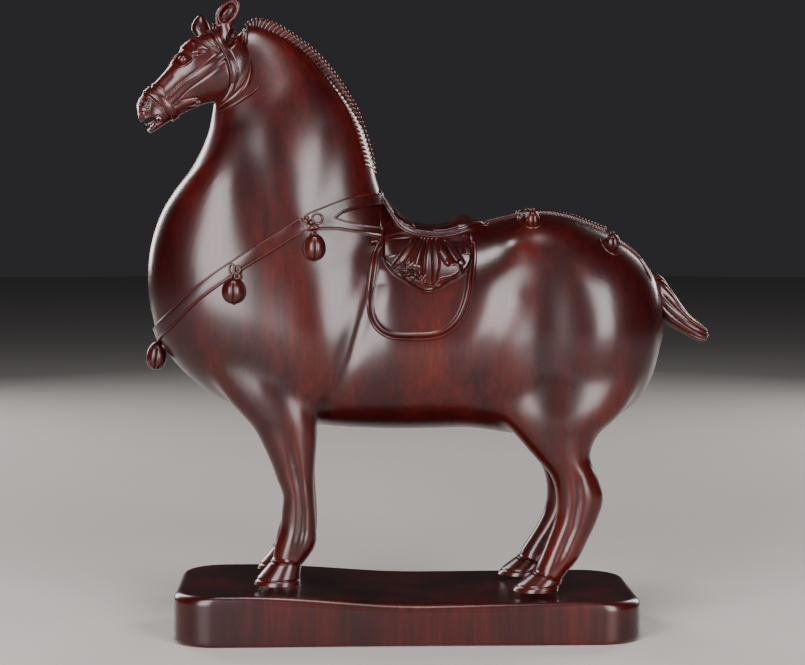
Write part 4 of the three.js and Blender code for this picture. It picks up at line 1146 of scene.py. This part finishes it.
def makeMane(skin, sizes):
    count = sizes["ribs"] * sizes["stepsPerRib"] + 1
    edge, share = curveThrough(sizes["edge"], count), np.linspace(0, 1, count)
    step = np.gradient(edge, axis=0)
    inward = unit(np.stack([step[:, 1], -step[:, 0]], axis=-1))
    least, reach = sizes["endWidth"], sizes["endReach"]
    ends = least + (1 - least) * smoothStep(share, 0, reach) * (1 - smoothStep(share, 1 - reach, 1.0))
    left = []
    for depth in sizes["depths"]:
        rib = np.abs(np.cos(math.pi * (share * sizes["ribs"] + sizes["slant"] * depth)))
        outer = edge + inward * (depth + sizes["serration"] * (1 - rib) * math.exp(-depth / 1.6))[:, None]
        half = np.full(count, 0.05)
        if depth:
            places, _ = skin.fromSide(outer)
            onNeck = np.linalg.norm(places[:, [0, 2]] - outer, axis=1) < 0.05
            neckHalf = np.where(onNeck, -places[:, 1], 0)
            crown = sizes["halfWidth"] * math.sqrt(1 - (1 - min(depth / sizes["crownReach"], 1)) ** 2)
            half = np.maximum(crown + 0.05, neckHalf + sizes["lift"])
            half = np.maximum(half - sizes["ribDepth"] * (1 - rib ** 0.7) * min(depth / 0.9, 1), 0.3)
        left.append(np.stack([outer[:, 0], -half * ends, outer[:, 1]], axis=-1))
    deeper, inner = sizes["foot"]
    left.append(left[-1] + np.insert(inward * deeper, 1, inner, axis=1))
    return lofted(np.stack([*left, *[ring * [1, -1, 1] for ring in reversed(left)]], axis=1))


tail = {
    # upper line x and z, lower line x and z, half the width, narrowing
    "rows": [(146, 211, 148, 193, 5.4, 0), (153.5, 210.6, 151.8, 190, 6.6, 0),
             (159.6, 204.4, 157, 183.6, 7, 0), (165, 196.4, 164, 179, 7, 0),
             (170.6, 189.4, 170, 176, 6.6, 0), (176.6, 184.6, 175.8, 173.2, 5.8, 0),
             (181, 181, 180, 172.6, 4.4, 0)],
    "tip": (183, 0, 176.4),
    "strands": 9,
    "grooveDepth": 0.95,
    "fineDepth": 0.16,
    "twist": 0.7,
    "grid": (130, 198),
    "grownFrom": (0.9, 1.8),  # rows where the strands begin to part and are fully cut
    "tuft": (0.25, 0.5, 0.7, 0.86, 0.95),  # steps by which the end closes over
    "tuftSwell": 1.7,
    "dock": ((151.2, 0, 203.4), (0.35, 0, -1), (10.4, 7.4, 3.6)),
}


def makeTail(sizes):
    steps, around = sizes["grid"]
    turns, rings = turnsOf(around), []
    for place in np.linspace(0, len(sizes["rows"]) - 1, steps):
        points, normals = bodyFrames(sizes["rows"], np.full(around, place), turns)
        wave = turns * sizes["strands"] + sizes["twist"] * place
        sunk = sizes["grooveDepth"] * (1 - np.abs(np.sin(wave / 2))) ** 2.2
        sunk += sizes["fineDepth"] * (0.5 - 0.5 * np.cos(wave * 3 + 0.8 * place))
        rings.append(points - normals * (sunk * smoothStep(place, *sizes["grownFrom"]))[:, None])
    final, tip = rings[-1], np.array(sizes["tip"])
    for share in sizes["tuft"]:
        closed = final + (tip - final) * (1 - math.sqrt(1 - share ** 2))
        rings.append(closed + [sizes["tuftSwell"] * share * (1 - share), 0, 0])
    return merged([lofted(rings, endPoint=tip), ellipsoid(*sizes["dock"])])


# saddle

def plateOnSkin(skin, outline, middle, heights, bury=1.5):
    # heights are distance inside the edge and height over the skin, from the edge inwards
    reach, (last, level) = np.linalg.norm(outline - middle, axis=1), heights[-1]
    far = reach.max()
    spans = [(inside, -bury) for inside in np.linspace(far * 0.96, 0.5, 8)] + [(0, -bury), *heights]
    spans += [(inside, level) for inside in np.linspace(last, far * 0.97, 22)[1:]]
    rings = []
    for inside, height in spans:
        share = np.clip(1 - inside / reach, 0.02, 1)[:, None]
        places, normals = skin.fromSide(middle + (outline - middle) * share)
        rings.append(places + unit(normals * [0.6, 1, 0.6]) * height)
    return lofted(rings)


def spreadOnSkin(skin, top, bottom, columns, rows, heightAt, lean=(1, 1, 1), bury=1.2):
    # relief over the area of the skin between an upper and a lower line seen from the side
    top, bottom = curveThrough(top, 400), curveThrough(bottom, 400)
    x = np.linspace(top[0, 0], top[-1, 0], columns)
    high, low = np.interp(x, *top.T)[:, None], np.interp(x, *bottom.T)[:, None]
    z = high + (low - high) * np.linspace(0, 1, rows)
    flat = np.stack([np.broadcast_to(x[:, None], z.shape), z], axis=-1).reshape(-1, 2)
    places, normals = skin.fromSide(flat)
    outward = unit(normals * lean)
    inside = edgeReach(flat, np.concatenate([top, bottom[::-1]])[::4])
    raised = places + outward * heightAt(flat, inside, (high - z).reshape(-1))[:, None]
    # the edge is closed down into the skin
    front = np.arange(columns * rows).reshape(columns, rows)
    rim = np.concatenate([front[:, 0], front[-1, 1:], front[-2::-1, -1], front[0, -2:0:-1]])
    sunk = places[rim] - outward[rim] * bury
    back = places.mean(0) - outward.mean(0) * (bury + 1.3)
    quads = np.stack([front[:-1, :-1], front[1:, :-1], front[1:, 1:], front[:-1, 1:]], axis=-1).reshape(-1, 4)
    faces, start, count = [tuple(quad) for quad in quads.tolist()], len(raised), len(rim)
    for k in range(count):
        ahead = (k + 1) % count
        faces.append((int(rim[ahead]), int(rim[k]), start + k, start + ahead))
        faces.append((start + ahead, start + k, start + count))
    return outwardShape(np.concatenate([raised, sunk, [back]]), faces)


saddle = {
    "flapMiddle": (7.4, 210),
    "flapHalf": 31,
    "flapBottom": 176.4,
    "flapTop": 239,
    "flapShift": 4,
    # distance inside the edge and height: two raised lines with a groove between them, and a finer line
    # inside
    "flapHeights": [(0, 0.9), (0.25, 1.9), (0.75, 2.45), (1.35, 2.45), (1.8, 1.7), (2.2, 1.35), (2.7, 1.6),
                    (3.1, 2.15), (3.7, 2.25), (4.2, 1.9), (4.7, 1.35), (5.3, 1.25)],
    # middle x and z, rim x and z, half the width
    "seatRows": [(-16, 265.6, -13.6, 257.4, 11), (-9.6, 255.4, -9.6, 248.6, 17),
                 (-3.6, 249.8, -4.8, 241.6, 20.5), (4.2, 245.6, 2, 237.6, 22.6),
                 (14.4, 243.8, 12, 235.6, 23.6), (24, 245.2, 24, 235.8, 23.8),
                 (33.6, 249.4, 36, 239.4, 22), (41.4, 247.4, 43, 241.6, 17), (46, 245.2, 47, 241.6, 12.5),
                 (48.4, 243.4, 48.8, 241.9, 7)],
    "seatGrid": (170, 141),
    "seatRound": 1.15,
    "seatSink": 6,
    # rolls and grooves along the rim: distance from it over the arch, width, height
    "seatRolls": [(0.7, 0.75, 1), (2.35, 0.55, -0.75), (3.5, 0.5, 0.3), (4.7, 0.45, -0.5)],
    # raised pads before and behind, as areas seen from the side
    "pads": [
        [(-8.9, 254.6), (-5.6, 252), (-1.6, 248.2), (3.6, 244.2), (4.6, 241.4), (1.6, 241.2),
         (-2.8, 244.3), (-6.7, 249)],
        [(14.2, 240.8), (22.4, 242.4), (30.1, 245.4), (33.6, 247.6), (35.2, 245.4), (30.7, 240.8),
         (22.4, 238.8), (15.2, 238.6)],
    ],
    "padLift": 0.8,
    "ring": ((47.2, -8.4, 242.2), 1.75, 0.8),
}


def flapOutline(sizes, count):
    cosine, sine = np.cos(turnsOf(count)), np.sin(turnsOf(count))
    middleX, middleZ = sizes["flapMiddle"]
    rise, drop = sizes["flapTop"] - middleZ, middleZ - sizes["flapBottom"]
    z = middleZ + signedPower(sine, np.where(sine > 0, 0.35, 0.85)) * np.where(sine > 0, rise, drop)
    x = middleX + signedPower(cosine, 0.62) * sizes["flapHalf"] + sizes["flapShift"] * (z - middleZ) / rise
    return np.stack([x, z], axis=-1)


def makeSeat(sizes):
    rows, (along, across) = sizes["seatRows"], sizes["seatGrid"]
    swings = np.linspace(-math.pi / 2, math.pi / 2, across)
    midX, midZ, rimX, rimZ, half = alongRows(rows, np.linspace(0, len(rows) - 1, along)).T[:, :, None]
    rise, out = np.cos(swings) ** sizes["seatRound"], np.sin(swings)
    arches = np.stack([rimX + (midX - rimX) * rise, half * out, rimZ + (midZ - rimZ) * rise], axis=-1)
    walked = np.cumsum(np.linalg.norm(np.diff(arches, axis=1), axis=2), axis=1)
    walked = np.concatenate([np.zeros((along, 1)), walked], axis=1)
    fromRim = np.minimum(walked, walked[:, -1:] - walked)
    height = sum(tall * hump(fromRim - at, width) for at, width, tall in sizes["seatRolls"])
    flat = arches[:, :, [0, 2]].reshape(-1, 2)
    for area in sizes["pads"]:
        height += sizes["padLift"] * smoothStep(edgeReach(flat, area), -0.6, 1.0).reshape(along, across)
    normals = unit(np.cross(np.gradient(arches, axis=0), np.gradient(arches, axis=1)))
    normals *= np.sign(normals[:, across // 2, 2]).mean()
    arches = arches + normals * height[:, :, None]
    under = arches[:, ::-10] * [1, 0.8, 1] - [0, 0, sizes["seatSink"]]
    return lofted(np.concatenate([arches, under], axis=1))


def makeSaddle(skin, sizes):
    flap = plateOnSkin(skin, flapOutline(sizes, 260), np.array(sizes["flapMiddle"]), sizes["flapHeights"])
    return merged([*bothSides([flap, ringFacing(*sizes["ring"])]), makeSeat(sizes)])


apron = {
    "columns": 250,
    "rows": 128,
    "lift": 2.9,
    "top": [(-16, 239.6), (-10.5, 245.6), (-6.7, 244.6), (-2.8, 241.3), (1.6, 238), (6, 236.3),
            (13.6, 235.2), (19.7, 235.1), (24.1, 235.2), (30.7, 236.3), (38.4, 239.8)],
    "bottom": [(-16, 224.6), (-13.3, 219.4), (-8.9, 214.4), (-3.9, 211), (0.5, 207.9), (4.9, 205.3),
               (8.7, 203.8), (13.6, 204), (18.6, 206), (22.4, 208.2), (27.9, 211.2), (32.3, 214.4),
               (36.2, 218.2), (38.4, 222.7)],
    # the hanging cloth, as an area, with its height and the softness of its edge
    "cloth": [(2.7, 238.5), (2.7, 235.9), (-3.4, 226.5), (-9.4, 219.4), (-7.8, 218), (-5.9, 215.8),
              (-2.3, 214.9), (1.6, 215.4), (4, 215.2), (5.4, 213.1), (6, 211), (8.2, 209.4), (11.4, 208.8),
              (14.5, 208), (16.4, 209.3), (18, 210.3), (21.3, 211.4), (25.2, 212.3), (29, 214.4),
              (30.9, 217.1), (29.9, 219.4), (32.9, 219.9), (30.7, 224.3), (26.8, 230.9), (20.2, 236.5)],
    "clothLift": (1.5, 0.55),
    "thinFold": 0.6,
    # folds: path, width, height, below zero for a furrow
    "folds": [
        ([(2.9, 236.1), (-3.4, 226.5), (-9, 219.3)], 0.5, 0.9),
        ([(8.7, 233.7), (4.9, 227.1), (1.6, 222.1), (-1.6, 218.6)], 0.55, -1),
        ([(5.4, 235.8), (-0.1, 226.8), (-5, 219.9)], 1.7, 0.6),
        ([(-3.7, 219.9), (-1.2, 219), (0.7, 221.3), (0.5, 223.8), (-1.2, 223.5), (-3.4, 221)], 0.42, 0.8),
        ([(9.5, 235.1), (6.2, 224.9), (4.3, 218.3)], 1.7, 0.9),
        ([(11.2, 234.6), (9.5, 223.8), (8.6, 213.4)], 0.9, -1.1),
        ([(13.3, 236), (13.8, 222.7), (13.9, 213.9), (13.4, 210.3), (14.5, 208.7), (16.1, 210.2),
          (16.8, 215), (18, 219.9), (17.6, 225.7), (15.6, 235.1)], 0.42, 1.2),
        ([(15.6, 235.7), (18.6, 226), (20.4, 222), (22, 219.8), (23.7, 219.6), (24.2, 220.9),
          (22.8, 223.1)], 0.42, 1.1),
        ([(16.9, 230.9), (19.7, 224.9), (22, 221.9)], 0.35, -0.4),
        ([(20.8, 234.6), (25.7, 226), (29.4, 220.9)], 1.9, -1.2),
        ([(26.6, 231.6), (30.7, 224.5), (33.2, 219.9)], 0.7, 0.4),
        ([(34.2, 230.5), (34.6, 225.6)], 2.6, 0.9),
        ([(24.4, 219.9), (27.4, 220.5), (30, 219.1), (30.8, 216.9), (29, 214.7), (25.2, 212.8),
          (21.3, 212), (18.7, 211.3), (17.8, 210.2)], 0.62, 1.15),
        ([(-2.8, 219.8), (-6.4, 219.5), (-7.8, 218), (-6.1, 216.2), (-2.3, 215.3), (1.6, 216), (4, 215.7),
          (5.3, 213.8), (5.1, 211.7)], 0.58, 1.15),
        ([(-5, 217.7), (-1.2, 217.4), (2.9, 217.6)], 0.3, -0.5),
        ([(6.6, 215.1), (5.5, 212.2)], 0.3, 0.6),
        ([(8.4, 213.5), (6.6, 210.9)], 0.3, 0.6),
        ([(9.6, 212.2), (8.3, 210)], 0.3, 0.6),
        ([(1.2, 213), (2.4, 213.4)], 0.5, 0.7),
        ([(-1, 211.5), (0, 211.9)], 0.5, 0.6),
        ([(-15, 224.4), (-10.3, 220.2), (-4.8, 214.2), (-1, 210.6)], 0.35, 0.5),
        ([(-9.4, 240), (-10.8, 231), (-9.6, 224)], 4.2, 0.5),
    ],
    # rolls and grooves along the edge: distance inside it, width, height
    "border": [(0.85, 0.5, 1.15), (1.9, 0.4, -0.4), (0, 0.35, -0.5)],
    "sunken": (2.2, -0.8),  # the ground between border and cloth: from, height
    "beads": [(8.2, 235.3), (10, 234.9), (12.1, 234.9), (14.3, 234.8), (17.1, 234.9)],
    "beadRadius": 0.85,
}


def makeApron(skin, sizes):
    def heightAt(flat, inside, belowTop):
        ends = [sizes["top"][0]], curveThrough(sizes["bottom"], 100), [sizes["top"][-1]]
        fromBorder, _ = lineReach(flat, np.concatenate(ends))
        height = sizes["lift"] + sum(tall * hump(fromBorder - at, width) for at, width, tall in sizes["border"])
        start, tall = sizes["sunken"]
        height += tall * smoothStep(fromBorder, start - 0.5, start + 0.5)
        lift, soft = sizes["clothLift"]
        height += lift * smoothStep(edgeReach(flat, sizes["cloth"]), -0.1, soft) * smoothStep(belowTop, 0, 1.2)
        for path, width, tall in sizes["folds"]:
            gap, share = lineReach(flat, curveThrough(path, 30))
            fade = smoothStep(belowTop, 0, 2.0)
            if width > sizes["thinFold"]:
                fade *= smoothStep(share, 0, 0.12) * (1 - smoothStep(share, 0.9, 1))
            height += tall * hump(gap, width) * fade
        return height * (smoothStep(inside, -0.02, 0.3) * 0.5 + 0.5)
    grid = sizes["columns"], sizes["rows"]
    plate = spreadOnSkin(skin, sizes["top"], sizes["bottom"], *grid, heightAt, (0.5, 1, 0.1))
    radii = [sizes["beadRadius"]] * 3
    beads = [ellipsoid(spot + normal * 0.25, (0, 0, 1), radii, 16, 10)
             for spot, normal in zip(*Skin(plate).fromSide(sizes["beads"]))]
    return merged([plate, *beads])


# straps, cords and bells

harness = {
    "collarHalf": 4.2,
    "collarSteps": 260,
    "collarOver": 0.15,  # how far the collar stands over the plates where they meet
    "collar": [(-60.4, 244.1), (-68, 239.6), (-76, 234.4), (-94, 223), (-123.4, 202.4), (-136.5, 189.6),
               (-145.2, 181.2)],
    "chestRow": 10.74,
    "lift": 1.5,
    # plate where the collar parts into an upper and a lower strap, and the sunken field between them
    "junctionTop": [(-59.9, 249), (-55.7, 251.1), (-49.9, 253.4), (-44.1, 255.6), (-40.1, 257),
                    (-35.4, 258.7), (-26.7, 260.6), (-14.6, 261.6)],
    "junctionLow": [(-59.9, 240.1), (-54.6, 239.5), (-49.9, 240.2), (-41.2, 240.2), (-35.4, 239.4),
                    (-26.7, 238), (-14.6, 235.8)],
    "junctionGrid": (210, 84),
    "field": [(-41.8, 247.1), (-38.3, 249.9), (-32.5, 251.9), (-23.8, 253.6), (-8, 255), (-8, 240.2),
              (-16.2, 241.4), (-26.7, 243.2), (-35.4, 244.9)],
    "fieldSink": -1.55,
    "ridge": (0.55, 0.4, 0.4),  # line along the edges: distance from the edge, width, height
    "dimple": ((-56.4, 244.4), 1.5, -1),
    "claspBars": [[(-63.4, 247.4), (-59.6, 239.4)], [(-61.3, 247), (-58.2, 240.6)]],
    "barLine": (0.5, 0.3, 16, 0.8),  # radius, height over the strap, steps, thickness of the ends
    "claspRing": ((-52.9, 246.4), 3, 0.7, 1.7),
    # small knobs: place, reach along and across, how far out
    "knobs": [((-59, 246.8), (1.5, 1.3), 1.7), ((-55, 241.2), (3.2, 1.7), 1.6),
              ((-54.9, 237.6), (1.2, 1.2), 1.6), ((-19.6, 232.8), (2.6, 1.2), 1.2),
              ((67, 246.4), (1.5, 1.9), 0.8)],
    "backStrap": ([(47, 0, 246), (57, 0, 249), (66.5, 0, 251)], 2.5),
    # strands, turns a strand's width
    "rope": ([(68, 0, 251), (85.2, 0, 252), (98.4, 0, 250), (111.6, 0, 245), (119, 0, 241)], 1.9, 3, 1.05),
    "backKnots": [((67.2, 0, 250), (1.7, 3.2, 1.7)), ((119.6, 0, 241), (1.6, 3, 1.6))],
    "tailStrap": ([(121, 235.2), (128.2, 231.4), (132.9, 228.2), (138.9, 222.6), (143.6, 214.6),
                   (146.6, 206.6)], 1.3),
    "cords": [[(68.3, 242.6), (73.6, 241), (79.2, 242.6)],
              [(113.4, 234.4), (115.1, 230.6), (118.1, 227.1), (122.2, 225.3), (126.6, 226.2)]],
    "cordLine": (0.6, 0.25, 30, 0.5),  # radius, height over the skin, steps, thickness of the ends
}


def strapOnBody(skin, spots, count, half, lift):
    spots = curveThrough(spots, count)
    places, _ = bodyFrames(body["trunkRows"], spots[:, 0], spots[:, 1])
    places, normals = skin.nearest(places)
    return ribbon(places, tidyNormals(normals, 6), half, strapProfile(lift, 1.6, 0.25), skin)


def makeJunction(skin, sizes):
    def heightAt(flat, inside, belowTop):
        field = edgeReach(flat, sizes["field"])
        at, width, tall = sizes["ridge"]
        height = sizes["lift"] + tall * hump(inside - at, width) + tall * hump(field + at, width)
        spot, reach, sink = sizes["dimple"]
        height += sink * hump(np.linalg.norm(flat - spot, axis=1), reach, 4)
        return height + sizes["fieldSink"] * smoothStep(field, -0.3, 0.45)
    return spreadOnSkin(skin, sizes["junctionTop"], sizes["junctionLow"], *sizes["junctionGrid"], heightAt)


def makeRope(skin, path, radius, strands, pitch):
    count, turns = 300, turnsOf(30)
    places, normals = skin.nearest(levelPath(curveThrough(path, count), 4))
    places, normals = levelPath(places, 8), tidyNormals(normals, 8)
    across = unit(np.cross(unit(np.gradient(places, axis=0)), normals))
    walked = np.concatenate([[0], np.cumsum(np.linalg.norm(np.diff(places, axis=0), axis=1))])
    lobes = np.abs(np.cos((turns * strands - walked[:, None] * pitch * strands) / 2)) ** 0.7
    reach = (radius * (1 + 0.2 * (lobes - 0.6)))[:, :, None]
    rings = (places + normals * 0.5)[:, None] + across[:, None] * np.cos(turns)[:, None] * reach
    return lofted(rings + normals[:, None] * np.sin(turns)[:, None] * reach)


def makeHarness(skin, sizes):
    # the collar runs from the left junction over the chest to the right one
    left = np.stack(bodyPlaces(body["trunkRows"], sizes["collar"]), axis=-1)
    right = np.stack([left[::-1, 0], fullTurn - left[::-1, 1]], axis=-1)
    whole = np.concatenate([left, [[sizes["chestRow"], math.pi]], right])
    lift = sizes["lift"]
    parts = [strapOnBody(skin, whole, sizes["collarSteps"], sizes["collarHalf"], lift + sizes["collarOver"])]
    sides = [makeJunction(skin, sizes)]
    radius, over, steps, ends = sizes["barLine"]
    sides += [lineOnSkin(skin, bar, radius, lift + over, steps, ends) for bar in sizes["claspBars"]]
    spot, radius, thick, out = sizes["claspRing"]
    place, normal = skin.fromSide([spot])
    sides.append(ringFacing(place[0] + normal[0] * out, radius, thick, normal[0]))
    for spot, (along, over), out in sizes["knobs"]:
        place, normal = skin.fromSide([spot])
        sides.append(ellipsoid(place[0] + normal[0] * out, (1, 0, 0.15), (along, over, over), 20, 12))
    sides += [lineOnSkin(skin, cord, *sizes["cordLine"]) for cord in sizes["cords"]]
    path, half = sizes["tailStrap"]
    places, normals = skin.fromSide(curveThrough(path, 60))
    places = levelPath(places, 3) - normals * 1.4 * smoothStep(np.linspace(0, 1, 60), 0.8, 1)[:, None]
    halfWidths = half * np.linspace(1.1, 0.25, 60)
    sides.append(ribbon(places, tidyNormals(normals, 6), halfWidths, strapProfile(0.8, 1.2, 0.3)))
    path, half = sizes["backStrap"]
    places, normals = skin.nearest(curveThrough(path, 50))
    parts.append(ribbon(places, tidyNormals(normals, 4), half, strapProfile(1.2, 1.4), skin))
    parts.append(makeRope(skin, *sizes["rope"]))
    for spot, reach in sizes["backKnots"]:
        place, normal = skin.nearest([spot])
        parts.append(ellipsoid(place[0] + normal[0] * 0.5, (1, 0, 0), reach))
    return merged([*parts, *bothSides(sides)])


bells = {
    # side view place, radius, length, how far it stands out
    "pairs": [((-100.6, 205.4), 6.9, 15.2, 3.6), ((-54.3, 230.2), 6.4, 15.6, 3.4),
              ((74.4, 246.3), 4.3, 10.4, 2), ((121, 232.8), 4.6, 10, 2.2)],
    # links over the foremost bell: place, radius, thickness, height against width, how far out
    "links": [((-101.4, 217.6), 1.6, 0.6, 1.9, 2.4), ((-98.4, 217.4), 1.9, 0.65, 1.1, 3),
              ((-98.2, 213.6), 1.5, 0.6, 1, 3.6)],
    "chest": ((-149, 0, 165), 0.14, 6, 17.4),
    "chestStem": ((-144.5, 0, 170.5), 3, 12),
    "grid": (34, 64),
    "sunkShare": 0.35,  # how much of its radius a bell sits back in the skin
    "seam": (1.1, 0.12),  # depth, half turn
    "sideLines": (0.4, 0.95, 0.09),  # depth, turn from the seam, half turn
    "round": (0.92, 0.08),  # fullness from top to bottom, and how much wider the lower half is
    "grooveFrom": (-0.8, -0.4),  # the grooves fade out towards the top
    "bottomKnob": (0.8, 1, 1),
    "topRing": (0.21, 0.11),  # radius and thickness as shares of the bell's radius
}


def bellShape(middle, along, radius, length, sizes):
    steps, around = sizes["grid"]
    middle, axis, turns = np.asarray(middle), unit(along), turnsOf(around)
    across = unit(np.cross(axis, (0, -1, 0)))
    outward = np.cross(axis, across)
    fromFront = np.abs(turns % math.pi - math.pi / 2)  # the same before and behind
    depth, width = sizes["seam"]
    sideDepth, sideTurn, sideWidth = sizes["sideLines"]
    groove = depth * hump(fromFront, width) + sideDepth * hump(fromFront - sideTurn, sideWidth)
    power, lower = sizes["round"]
    rings = []
    for angle in math.pi * np.arange(1, steps) / steps:
        down = -math.cos(angle)
        reach = radius - groove * smoothStep(down, *sizes["grooveFrom"])
        reach = (reach * math.sin(angle) ** power * (1 + lower * down))[:, None]
        rings.append(middle + axis * down * length / 2 + across * np.cos(turns)[:, None] * reach
                     + outward * np.sin(turns)[:, None] * reach)
    return lofted(rings, middle - axis * length / 2, middle + axis * length / 2)


def makeBells(skin, sizes):
    sides = []
    for spot, radius, length, out in sizes["pairs"]:
        place, normal = skin.fromSide([spot])
        middle = place[0] + unit(normal[0] * [1, 1, 0.3]) * (out - radius * sizes["sunkShare"])
        toTip = np.array([0, 0, length / 2 + 0.1])
        ringRadius, ringThick = sizes["topRing"]
        sides += [bellShape(middle, (0, 0, -1), radius, length, sizes),
                  ellipsoid(middle - toTip + [0, 0, 0.2], (0, 0, 1), sizes["bottomKnob"], 16, 8),
                  ringFacing(middle + toTip, radius * ringRadius, radius * ringThick)]
    for spot, radius, thick, tall, out in sizes["links"]:
        place, normal = skin.fromSide([spot])
        sides.append(ringFacing(place[0] + normal[0] * out, radius, thick, normal[0], tall))
    middle, lean, radius, length = sizes["chest"]
    stem, stemRadius, stemLength = sizes["chestStem"]
    parts = [bellShape(middle, (-math.sin(lean), 0, -math.cos(lean)), radius, length, sizes),
             ellipsoid(stem, (-0.6, 0, -0.8), (stemLength / 2, stemRadius, stemRadius))]
    return merged([*parts, *bothSides(sides)])


# plinth

plinth = {
    "length": 275,
    "depth": 112,
    "height": 24.7,
    "headRise": (4.8, -10, 100),  # how much higher the head end is, and where the rise starts and ends
    "corner": 24,
    "topRound": 5.5,
    "footRound": 2.5,
    "cornerSteps": 26,
    "sideSteps": (60, 24),
    "footSteps": 8,
    "wallSteps": 14,
    "edgeSteps": 12,
    "topSteps": 26,
    "wallShares": (0.08, 0.92),  # first and last ring of the wall and of the top, as shares of them
    "topShares": (0.04, 0.97),
    "underInset": 30,
    "ringGap": 0.5,
}


def plinthTop(x, sizes):
    rise, start, end = sizes["headRise"]
    return sizes["height"] + rise * smoothStep(-x, start, end)


def makePlinth(sizes):
    halfX, halfY, corner = sizes["length"] / 2, sizes["depth"] / 2, sizes["corner"]
    straightX, straightY = halfX - corner, halfY - corner
    alongX, alongY = [np.linspace(end, -end, steps)[1:-1]
                      for end, steps in zip((straightX, straightY), sizes["sideSteps"])]
    turns = np.linspace(0, math.pi / 2, sizes["cornerSteps"])
    arc = np.stack([straightX + corner * np.cos(turns), straightY + corner * np.sin(turns)], axis=-1)
    back, head = [(x, halfY) for x in alongX], [(-halfX, y) for y in alongY]
    outline = np.concatenate([arc, back, arc[::-1] * [-1, 1], head])
    outline = np.concatenate([outline, -outline])
    reach, top = np.linalg.norm(outline, axis=1)[:, None], plinthTop(outline[:, 0], sizes)
    foot, edge = sizes["footRound"], sizes["topRound"]

    def ring(inset, z):
        return np.column_stack([outline * (1 - inset / reach), np.broadcast_to(z, len(outline))])
    rings = [ring(sizes["underInset"], 0), ring(foot + sizes["ringGap"], 0)]
    for angle in np.linspace(0, math.pi / 2, sizes["footSteps"]):
        rings.append(ring(foot * (1 - math.sin(angle)), foot * (1 - math.cos(angle))))
    for share in np.linspace(*sizes["wallShares"], sizes["wallSteps"]):
        rings.append(ring(0, foot + (top - edge - foot) * share))
    for angle in np.linspace(0, math.pi / 2, sizes["edgeSteps"]):
        rings.append(ring(edge * (1 - math.cos(angle)), top - edge * (1 - math.sin(angle))))
    for share in np.linspace(*sizes["topShares"], sizes["topSteps"]):
        moved = outline * (1 - (edge + sizes["ringGap"]) / halfX) * (1 - share)
        rings.append(np.column_stack([moved, plinthTop(moved[:, 0], sizes)]))
    return lofted(rings)


# everything put together

wood = woodMaterial("carvedHardwood", hardwood)
plinthWood = woodMaterial("plinthHardwood", hardwood, shift=0.37, darker=0.8)

bodyShape = makeBody(body)
bodySkin = Skin(bodyShape)
skullShape, uncutSkull = makeSkull(head, bridle)
skullSkin = Skin(uncutSkull, offHead)
apronShape = makeApron(bodySkin, apron)
print("skins ready")

# name, shape, and how deep a hollow is, in millimetres, when it takes the full stain and painted shade
for name, shape, hollowReach in (
        ("horse_body", bodyShape, 1.0),
        ("horse_hooves", makeHooves(hooves), 1.0),
        ("horse_head", turnedHead(skullShape), 0.5),
        ("horse_face", turnedHead(makeFace(skullSkin, eye)), 1.0),
        ("horse_bridle", turnedHead(makeBridle(skullSkin, bridle)), 1.0),
        ("horse_ears", makeEars(ears), 1.0),
        ("horse_throat", makeThroat(bodySkin, throat), 1.0),
        ("horse_mane", makeMane(bodySkin, mane), 1.0),
        ("horse_tail", makeTail(tail), 1.0),
        ("horse_saddle", makeSaddle(bodySkin, saddle), 1.0),
        ("horse_apron_left", apronShape, 0.5),
        ("horse_apron_right", mirroredShape(apronShape), 0.5),
        ("horse_harness", makeHarness(bodySkin, harness), 1.0),
        ("horse_bells", makeBells(bodySkin, bells), 0.5)):
    makePiece(name, shape, wood, ["horse"], hollowReach)
makePiece("plinth_base", makePlinth(plinth), plinthWood, ["plinth"])
makeStudio(studio)
